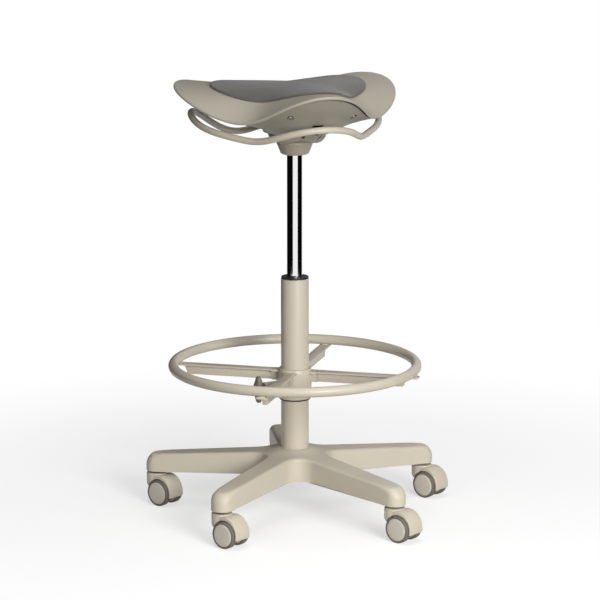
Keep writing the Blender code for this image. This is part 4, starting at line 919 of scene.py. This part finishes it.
# Release lever: one closed hoop of moulded plastic that follows the seat's edge all round, with a
# flat yoke at its front that goes in under the seat to the pivot and the valve button.
LOOP_TUBE_RADIUS = 0.006
LOOP_REACH = (0.1537, 0.1252, 0.1862, 0.1404)
LOOP_ABOVE_BOX = (0.0201, -0.0058, 0.0285, -0.0081)
LOOP_REAR_DIP = 0.0261
LOOP_SIDES = 20
LOOP_STEP = 0.01
YOKE_EDGE = 0.0016
YOKE_TAPER_LENGTH = 0.024
YOKE_TAPER_RISE = 0.0085
# The greige darkened: painted shade for the yoke and the seat pan, which lie under the seat.
UNDERSIDE_PAINTED_SHADE = (0.268, 0.246, 0.199)

shade_plastic = moulded("shade_plastic", UNDERSIDE_PAINTED_SHADE, roughness=0.5)


def wave(values, angle):
    """A smooth closed wave through front, thigh, wing and rear values at 0, 60, 120 and 180 degrees."""
    front, thigh, wing, rear = values
    steady = (front + 2 * thigh + 2 * wing + rear) / 6
    once = (front + thigh - wing - rear) / 3
    twice = (front - thigh - wing + rear) / 3
    thrice = (front - 2 * thigh + 2 * wing - rear) / 6
    return (
        steady + once * math.cos(angle) + twice * math.cos(2 * angle) + thrice * math.cos(3 * angle))


def on_seat(reach, angle, height):
    """A point at a reach from the column's axis, its angle counted from the seat's front."""
    return Vector((reach * math.sin(angle), -reach * math.cos(angle), height))


def round_seat(rows, place, ring=False, steps=180):
    """Spins a row of points round the seat, then puts each one at place(row, angle)."""
    shape = spun([(0, -1 - row, 0) for row in range(len(rows))], ring, steps)
    for vert in shape.verts:
        row = rows[round(vert.co.xy.length) - 1]
        vert.co = place(row, math.atan2(vert.co.x, -vert.co.y))
    return closed_up(shape)


def loop_middle(angle):
    """The middle of the hoop's tube, which dips on each side between the wing and the rear."""
    dip = (1 - math.cos(6 * angle)) / 2 * ((1 - math.cos(angle)) / 2) ** 2
    height = box_top + wave(LOOP_ABOVE_BOX, angle) - LOOP_REAR_DIP * dip
    return on_seat(wave(LOOP_REACH, angle), angle, height)


def hoop(radius, steps=180):
    """The hoop's tube, square to its own line all the way round."""
    rows = [2 * math.pi * step / LOOP_SIDES for step in range(LOOP_SIDES)]

    def place(row, angle):
        ahead = (loop_middle(angle + LOOP_STEP) - loop_middle(angle - LOOP_STEP)).normalized()
        out = ahead.cross((0, 0, 1)).normalized()
        return loop_middle(angle) + radius * (math.cos(row) * out + math.sin(row) * out.cross(ahead))

    return round_seat(rows, place, ring=True, steps=steps)


loop = hoop(LOOP_TUBE_RADIUS, steps=220)
dress("fine_lever_loop", loop, greige_plastic, "lever", "greige_plastic", "lever_loop")
yoke_low, yoke_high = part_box("lever_yoke")
yoke_bar = slab(
    oblong(yoke_low.x, -LOOP_REACH[0], yoke_high.x, yoke_high.y), yoke_low.z, yoke_high.z, YOKE_EDGE)
taper_lean = math.atan2(YOKE_TAPER_RISE, YOKE_TAPER_LENGTH)
taper_start = Matrix.Translation((0, YOKE_TAPER_LENGTH - LOOP_REACH[0], yoke_low.z))
under_yoke = Matrix.Translation((0, -2 * YOKE_TAPER_LENGTH, -2 * YOKE_TAPER_RISE))
taper = brick(
    taper_start @ Matrix.Rotation(-taper_lean, 4, "X") @ under_yoke,
    (4 * yoke_high.x, 4 * YOKE_TAPER_LENGTH, 4 * YOKE_TAPER_RISE))
yoke = carved(yoke_bar, cuts=[taper, hoop(LOOP_TUBE_RADIUS + FIT / 3), pin_bore])
# The yoke wears the darkened greige: painted shade.
dress("fine_lever_yoke", yoke, shade_plastic, "lever", "shade_plastic", "lever_yoke")


# Seat shell: one three-lobed saddle moulding of even wall, dished between its pommel, thigh
# dips, wings and rear dip, with a rolled rim that is fullest under the pommel.
SEAT_REACH = (0.173, 0.149, 0.2135, 0.128)
SEAT_RISE = (0.0024, -0.0510, 0.0058, -0.0443)
SEAT_CURVE = 3.0
SHELL_WALL = 0.005
SHELL_TOP = 0.7731
RIM_WIDTH = 0.014
RIM_EXTRA = (0.0008, 0.0008, 0.0004, 0.0004)
RIM_STEPS = 10
SHELL_RINGS = 26
# The shell's colour is a darker copy of the greige plastic that the other mouldings wear.
SEAT_COLOUR = (0.392, 0.358, 0.293)


def seat_top(reach, angle):
    """Height of the shell's upper surface."""
    share = reach / wave(SEAT_REACH, angle)
    return SHELL_TOP + wave(SEAT_RISE, angle) * share ** SEAT_CURVE


def shell_wall(reach, angle):
    """The shell's wall, which thickens into its rim."""
    near = max(1 - (wave(SEAT_REACH, angle) - reach) / RIM_WIDTH, 0.0)
    return SHELL_WALL + wave(RIM_EXTRA, angle) * near ** 2 * (3 - 2 * near)


darker_seat_greige = moulded("darker_seat_greige", SEAT_COLOUR, roughness=0.5)
shell_shares = [step / SHELL_RINGS for step in range(SHELL_RINGS)]
shell_rows = [("top", share) for share in shell_shares]
shell_rows += [("rim", math.radians(90 - 180 * step / RIM_STEPS)) for step in range(RIM_STEPS + 1)]
shell_rows += [("under", share) for share in reversed(shell_shares)]


def shell_place(row, angle):
    zone, value = row
    edge = wave(SEAT_REACH, angle)
    roll = shell_wall(edge, angle) / 2
    if zone == "rim":
        reach = edge - roll + roll * math.cos(value)
        return on_seat(reach, angle, seat_top(edge - roll, angle) - roll + roll * math.sin(value))
    reach = value * (edge - roll)
    depth = shell_wall(reach + roll * value, angle) if zone == "under" else 0.0
    return on_seat(reach, angle, seat_top(reach, angle) - depth)


shell = round_seat(shell_rows, shell_place, steps=216)
dress("fine_seat_shell", shell, darker_seat_greige, "seat", "greige_plastic", "seat_shell")


# Seat pan: the cover under the shell, a shallow moulded bowl with a hole for the mechanism and a
# slot for the lever's yoke. Zinc-plated screws in round sinks hold it up into the shell.
PAN_INSET = (0.014, 0.006, 0.013, 0.014)
PAN_WALL = 0.003
PAN_FLOOR_REACH = (0.080, 0.068, 0.055, 0.056)
PAN_HOLE_RADIUS = 0.050
PAN_BOW = (1.7, 0.67, 0.58, 0.7)
PAN_SCREWS = ((-23.3, 0.1329), (33.2, 0.1283), (-150, 0.105), (150, 0.105))
PAN_RINGS = 16
PAN_RING_SPACING = 1.5
PAN_SKIN_STEP = 0.05
SLOT_HALF = 0.010
SLOT_LIFT = 0.0085
SCREW_RADIUS = 0.0042
SCREW_RISE = 0.0024
SCREW_SINK_RADIUS = 0.0062
SCREW_CROSS_SIZE = (0.00546, 0.001176, 0.00288)
ZINC = (0.26, 0.25, 0.225)

zinc = metal("zinc", ZINC, roughness=0.38)
pan_floor = box_top + FIT


def pan_rim(angle):
    """How far the pan reaches under the shell."""
    return wave(SEAT_REACH, angle) - wave(PAN_INSET, angle)


def pan_skin(share, angle):
    """A point on the pan's underside, from its floor's edge at 0 to its rim at 1."""
    rim = pan_rim(angle)
    rim_height = seat_top(rim, angle) - SHELL_WALL - PAN_WALL
    floor_reach = wave(PAN_FLOOR_REACH, angle)
    height = pan_floor + (rim_height - pan_floor) * share ** wave(PAN_BOW, angle)
    return on_seat(floor_reach + (rim - floor_reach) * share, angle, height)


wall_shares = [(step / PAN_RINGS) ** PAN_RING_SPACING for step in range(PAN_RINGS + 1)]
pan_rows = [("floor", 0.0, 0.0)]
pan_rows += [("wall", share, 0.0) for share in wall_shares]
pan_rows += [("rim", 1.0, 0.0)]
pan_rows += [("wall", share, PAN_WALL) for share in reversed(wall_shares[:-1])]
pan_rows += [("floor", 0.0, PAN_WALL)]


def pan_place(row, angle):
    zone, share, rise = row
    if zone == "floor":
        return on_seat(PAN_HOLE_RADIUS, angle, pan_floor + rise)
    if zone == "rim":
        rim = pan_rim(angle)
        return on_seat(rim - PAN_WALL, angle, seat_top(rim, angle) - shell_wall(rim, angle) - FIT)
    return pan_skin(share, angle) + Vector((0, 0, rise))


def pan_screw_place(degrees, reach):
    """A place on the pan's skin at a screw's angle and reach, local Z pointing out of it."""
    angle = math.radians(degrees)
    floor_reach = wave(PAN_FLOOR_REACH, angle)
    share = (reach - floor_reach) / (pan_rim(angle) - floor_reach)
    spot = pan_skin(share, angle)
    up_wall = pan_skin(share + PAN_SKIN_STEP, angle) - spot
    across = pan_skin(share, angle + PAN_SKIN_STEP) - spot
    return facing(spot, across.cross(up_wall).normalized())


slot_end = -LOOP_REACH[0] + 2 * LOOP_TUBE_RADIUS
slot = slab(
    oblong(-SLOT_HALF, slot_end, SLOT_HALF, -PAN_HOLE_RADIUS / 2), pan_floor - PAN_WALL,
    yoke_high.z + SLOT_LIFT)
pan_cuts = [slot]
for degrees, reach in PAN_SCREWS:
    sink = rod(SCREW_SINK_RADIUS, -PAN_WALL / 3, PAN_WALL, steps=32)
    pan_cuts.append(moved(sink, pan_screw_place(degrees, reach)))
pan = carved(round_seat(pan_rows, pan_place, ring=True), cuts=pan_cuts)
# The pan wears the darkened greige: painted shade under the seat.
dress("fine_seat_pan", pan, shade_plastic, "seat", "shade_plastic", "seat_pan")

head_turns = [math.radians(18 * step) for step in range(6)]
head_outline = [(SCREW_RADIUS * math.sin(turn), SCREW_RISE * math.cos(turn)) for turn in head_turns]
for number, (degrees, reach) in enumerate(PAN_SCREWS):
    head = turned(head_outline + [(SCREW_RADIUS, -PAN_WALL / 3), (0, -PAN_WALL / 3)], steps=32)
    crosses = []
    for turn in (0, 90):
        set_in = Matrix.Rotation(math.radians(turn), 4, "Z") @ Matrix.Translation((0, 0, SCREW_RISE))
        crosses.append(brick(set_in, SCREW_CROSS_SIZE))
    screw = moved(carved(head, cuts=crosses), pan_screw_place(degrees, reach))
    dress(f"pan_screw_{number + 1}", screw, zinc, "seat", "steel")


# Seat pad: a thin foam pad in grey woven cloth, glued into the shell. Its edge is drawn down to
# the shell all round and its top swells into a low crown.
PAD_REACH = (0.1250, 0.1065, 0.1490, 0.085)
PAD_EDGE = 0.004
PAD_EDGE_LEAN = 0.0024
PAD_RINGS = (12, 4, 16)
PAD_CROWN = 0.003
PAD_GAP = 0.0004
PAD_SWELL = 0.002
PAD_PRESSURE = 4.0
PAD_FRAMES = 20
CLOTH_GREY = (0.113, 0.109, 0.097)
YARN_PITCH = 0.0016

under_rings, side_rings, top_rings = PAD_RINGS
pad_rows = [("under", step / under_rings) for step in range(under_rings)]
pad_rows += [("side", step / side_rings) for step in range(side_rings + 1)]
pad_rows += [("top", 1 - step / top_rings) for step in range(1, top_rings + 1)]


def pad_place(row, angle):
    zone, share = row
    edge = wave(PAD_REACH, angle)
    if zone == "side":
        turn = math.radians(90 * share)
        reach = edge - PAD_EDGE_LEAN * (1 - math.cos(turn))
        return on_seat(reach, angle, seat_top(reach, angle) + PAD_GAP + PAD_EDGE * math.sin(turn))
    reach = share * (edge - PAD_EDGE_LEAN if zone == "top" else edge)
    rise = PAD_EDGE + PAD_CROWN * (1 - share ** 2) if zone == "top" else 0.0
    return on_seat(reach, angle, seat_top(reach, angle) + PAD_GAP + rise)


def upholstery(name, colour):
    """Woven cloth: two sets of yarn over and under each other, with a soft melange."""
    material, wire = blank(name)
    spot = wire.node("ShaderNodeTexCoord", output="Object")
    askew = wire.node("ShaderNodeMapping", {}, {"Vector": spot, "Rotation": (0, 0, math.radians(45))})
    split = wire.node("ShaderNodeSeparateXYZ", {}, {"Vector": askew})
    along = Wire(wire.tree, split.socket.node.outputs["X"]) * (2 * math.pi / YARN_PITCH)
    across = Wire(wire.tree, split.socket.node.outputs["Y"]) * (2 * math.pi / YARN_PITCH)
    weave = wire.maths("SINE", along) * wire.maths("SINE", across) * 0.5 + 0.5
    melange = noise(wire, scale=260.0, detail=3.0)
    drift = noise(wire, scale=32.0, detail=4.0)
    surface(wire, {
        "Base Color": tone(wire, colour, 0.2 * weave + 0.3 * melange + 0.5 * drift, spread=0.50),
        "Roughness": 0.78 + 0.14 * melange,
        "Normal": relief(wire, weave + 0.5 * melange, strength=0.5, depth=0.0004),
        "Specular IOR Level": 0.25, "Sheen Weight": 0.25, "Sheen Roughness": 0.45})
    return material


def swelled(pad):
    """Blows the pad up under its cloth, with its underside held, then caps how far it went."""
    held = pad.vertex_groups.new(name="held")
    starts = [vert.co.copy() for vert in pad.data.vertices]
    for vert, start in zip(pad.data.vertices, starts):
        angle = math.atan2(start.x, -start.y)
        rise = start.z - seat_top(start.xy.length, angle)
        edge = wave(PAD_REACH, angle) - start.xy.length
        held.add([vert.index], 1.0 if rise < PAD_EDGE / 2 or edge < PAD_EDGE else 0.0, "REPLACE")
    cloth = pad.modifiers.new("cloth", "CLOTH")
    cloth.settings.use_pressure = True
    cloth.settings.uniform_pressure_force = PAD_PRESSURE
    cloth.settings.vertex_group_mass = "held"
    cloth.settings.effector_weights.gravity = 0.0
    cloth.point_cache.frame_end = PAD_FRAMES
    for step in range(1, PAD_FRAMES + 1):
        scene.frame_set(step)
    graph = bpy.context.evaluated_depsgraph_get()
    blown = bpy.data.meshes.new_from_object(pad.evaluated_get(graph))
    pad.modifiers.clear()
    scene.frame_set(1)
    for vert, start in zip(blown.vertices, starts):
        way = vert.co - start
        if way.length > PAD_SWELL:
            way *= PAD_SWELL / way.length
        vert.co = start + way
    pad.data = blown


pad_cloth = upholstery("pad_cloth", CLOTH_GREY)
pad_shape = round_seat(pad_rows, pad_place, steps=120)
pad = dress("fine_seat_pad", pad_shape, pad_cloth, "seat", "pad_cloth", "seat_pad")
swelled(pad)
for vert in pad.data.vertices:
    rest = seat_top(vert.co.xy.length, math.atan2(vert.co.x, -vert.co.y)) + PAD_GAP
    vert.co.z = max(vert.co.z, rest)
pad.data.shade_smooth()
finer = pad.modifiers.new("finer", "SUBSURF")
finer.levels = 1
finer.render_levels = 1


# Studio: a pale round floor that fades to white, one large soft key lamp from the front right,
# a weak fill, a weak lamp high above, and two dark curved screens that only show in polished metal.
FLOOR_RADIUS = 14.0
FLOOR_FADE_START = 0.35
FLOOR_FADE_WIDTH = 0.9
FLOOR_GLOW = 0.57
FLOOR_GREY = (0.50, 0.50, 0.50, 1.0)
WORLD_LEVEL = 0.22
LAMP_AIM = (0.0, 0.0, 0.30)
LAMPS = {
    "key": {"spot": (0.25, -2.9, 1.15), "size": 1.4, "power": 91.0},
    "fill": {"spot": (-2.6, -1.6, 1.6), "size": 1.6, "power": 8.0},
    "top": {"spot": (0.0, -0.6, 6.0), "size": 2.5, "power": 75.0}}
SCREEN_RADIUS = 1.6
SCREEN_HEIGHT = 2.6
SCREENS = ((70.0, 221.0), (291.0, 378.0))
SCREEN_BLACK = (0.004, 0.004, 0.004, 1.0)
CAMERA_SPOT = (-1.7015, -4.7016, 1.4064)
CAMERA_TURN = (78.49, 0.0, -20.0)
CAMERA_LENS = 170.94
CAMERA_SENSOR = 36.0


def seen_rays(wire):
    """1 for rays that show a surface, also in a mirror or through glass, and 0 for light on others."""
    rays = wire.node("ShaderNodeLightPath").socket.node.outputs
    seen = Wire(wire.tree, rays["Is Camera Ray"]) + Wire(wire.tree, rays["Is Glossy Ray"])
    return wire.maths("MINIMUM", seen + Wire(wire.tree, rays["Is Transmission Ray"]), 1.0)


floor_material, wire = blank("floor")
spot = wire.node("ShaderNodeTexCoord", output="Object")
reach = wire.node("ShaderNodeVectorMath", {"operation": "LENGTH"}, {0: spot}, "Value")
far = wire.node("ShaderNodeMapRange", {"interpolation_type": "SMOOTHSTEP"}, {
    "Value": reach, "From Min": FLOOR_FADE_START, "From Max": FLOOR_FADE_START + FLOOR_FADE_WIDTH})
seen = seen_rays(wire)
matt = wire.node("ShaderNodeBsdfDiffuse", {}, {"Color": FLOOR_GREY})
glow = wire.node("ShaderNodeEmission", {}, {"Strength": seen * FLOOR_GLOW})
near_floor = wire.node("ShaderNodeAddShader", {}, {0: matt, 1: glow})
white = wire.node("ShaderNodeEmission", {}, {"Strength": seen})
floor_surface = wire.node("ShaderNodeMixShader", {}, {0: far, 1: near_floor, 2: white})
wire.node("ShaderNodeOutputMaterial", {}, {"Surface": floor_surface})
floor_shape = bmesh.new()
bmesh.ops.create_circle(floor_shape, cap_ends=True, segments=96, radius=FLOOR_RADIUS)
floor = stand("floor", floor_shape)
floor.data.materials.append(floor_material)

screen_material, wire = blank("screen")
dark = wire.node("ShaderNodeBsdfDiffuse", {}, {"Color": SCREEN_BLACK})
wire.node("ShaderNodeOutputMaterial", {}, {"Surface": dark})
for number, (start, end) in enumerate(SCREENS):
    screen_shape = bmesh.new()
    foot = screen_shape.verts.new((*polar(SCREEN_RADIUS, start), 0))
    head = screen_shape.verts.new((*polar(SCREEN_RADIUS, start), SCREEN_HEIGHT))
    post = screen_shape.edges.new((foot, head))
    bmesh.ops.spin(
        screen_shape, geom=[foot, head, post], cent=(0, 0, 0), axis=(0, 0, 1),
        angle=math.radians(end - start), steps=32)
    screen = stand(f"screen_{number}", screen_shape)
    screen.data.materials.append(screen_material)
    screen.visible_camera = False
    screen.visible_diffuse = False
    screen.visible_transmission = False
    screen.visible_shadow = False

for name, lamp_sizes in LAMPS.items():
    lamp_data = bpy.data.lights.new(name, "AREA")
    lamp_data.shape = "DISK"
    lamp_data.size = lamp_sizes["size"]
    lamp_data.energy = lamp_sizes["power"]
    lamp = bpy.data.objects.new(name, lamp_data)
    lamp.location = lamp_sizes["spot"]
    lamp.rotation_euler = (Vector(LAMP_AIM) - lamp.location).to_track_quat("-Z", "Y").to_euler()
    scene.collection.objects.link(lamp)

world = bpy.data.worlds.new("studio")
world.use_nodes = True
world.node_tree.nodes.clear()
scene.world = world
wire = Wire(world.node_tree)
sky_level = WORLD_LEVEL + (1 - WORLD_LEVEL) * seen_rays(wire)
sky = wire.node("ShaderNodeBackground", {}, {"Strength": sky_level})
wire.node("ShaderNodeOutputWorld", {}, {"Surface": sky})

camera_data = bpy.data.cameras.new("camera")
camera_data.lens = CAMERA_LENS
camera_data.sensor_width = CAMERA_SENSOR
camera = bpy.data.objects.new("camera", camera_data)
camera.location = CAMERA_SPOT
camera.rotation_euler = [math.radians(angle) for angle in CAMERA_TURN]
scene.collection.objects.link(camera)
scene.camera = camera
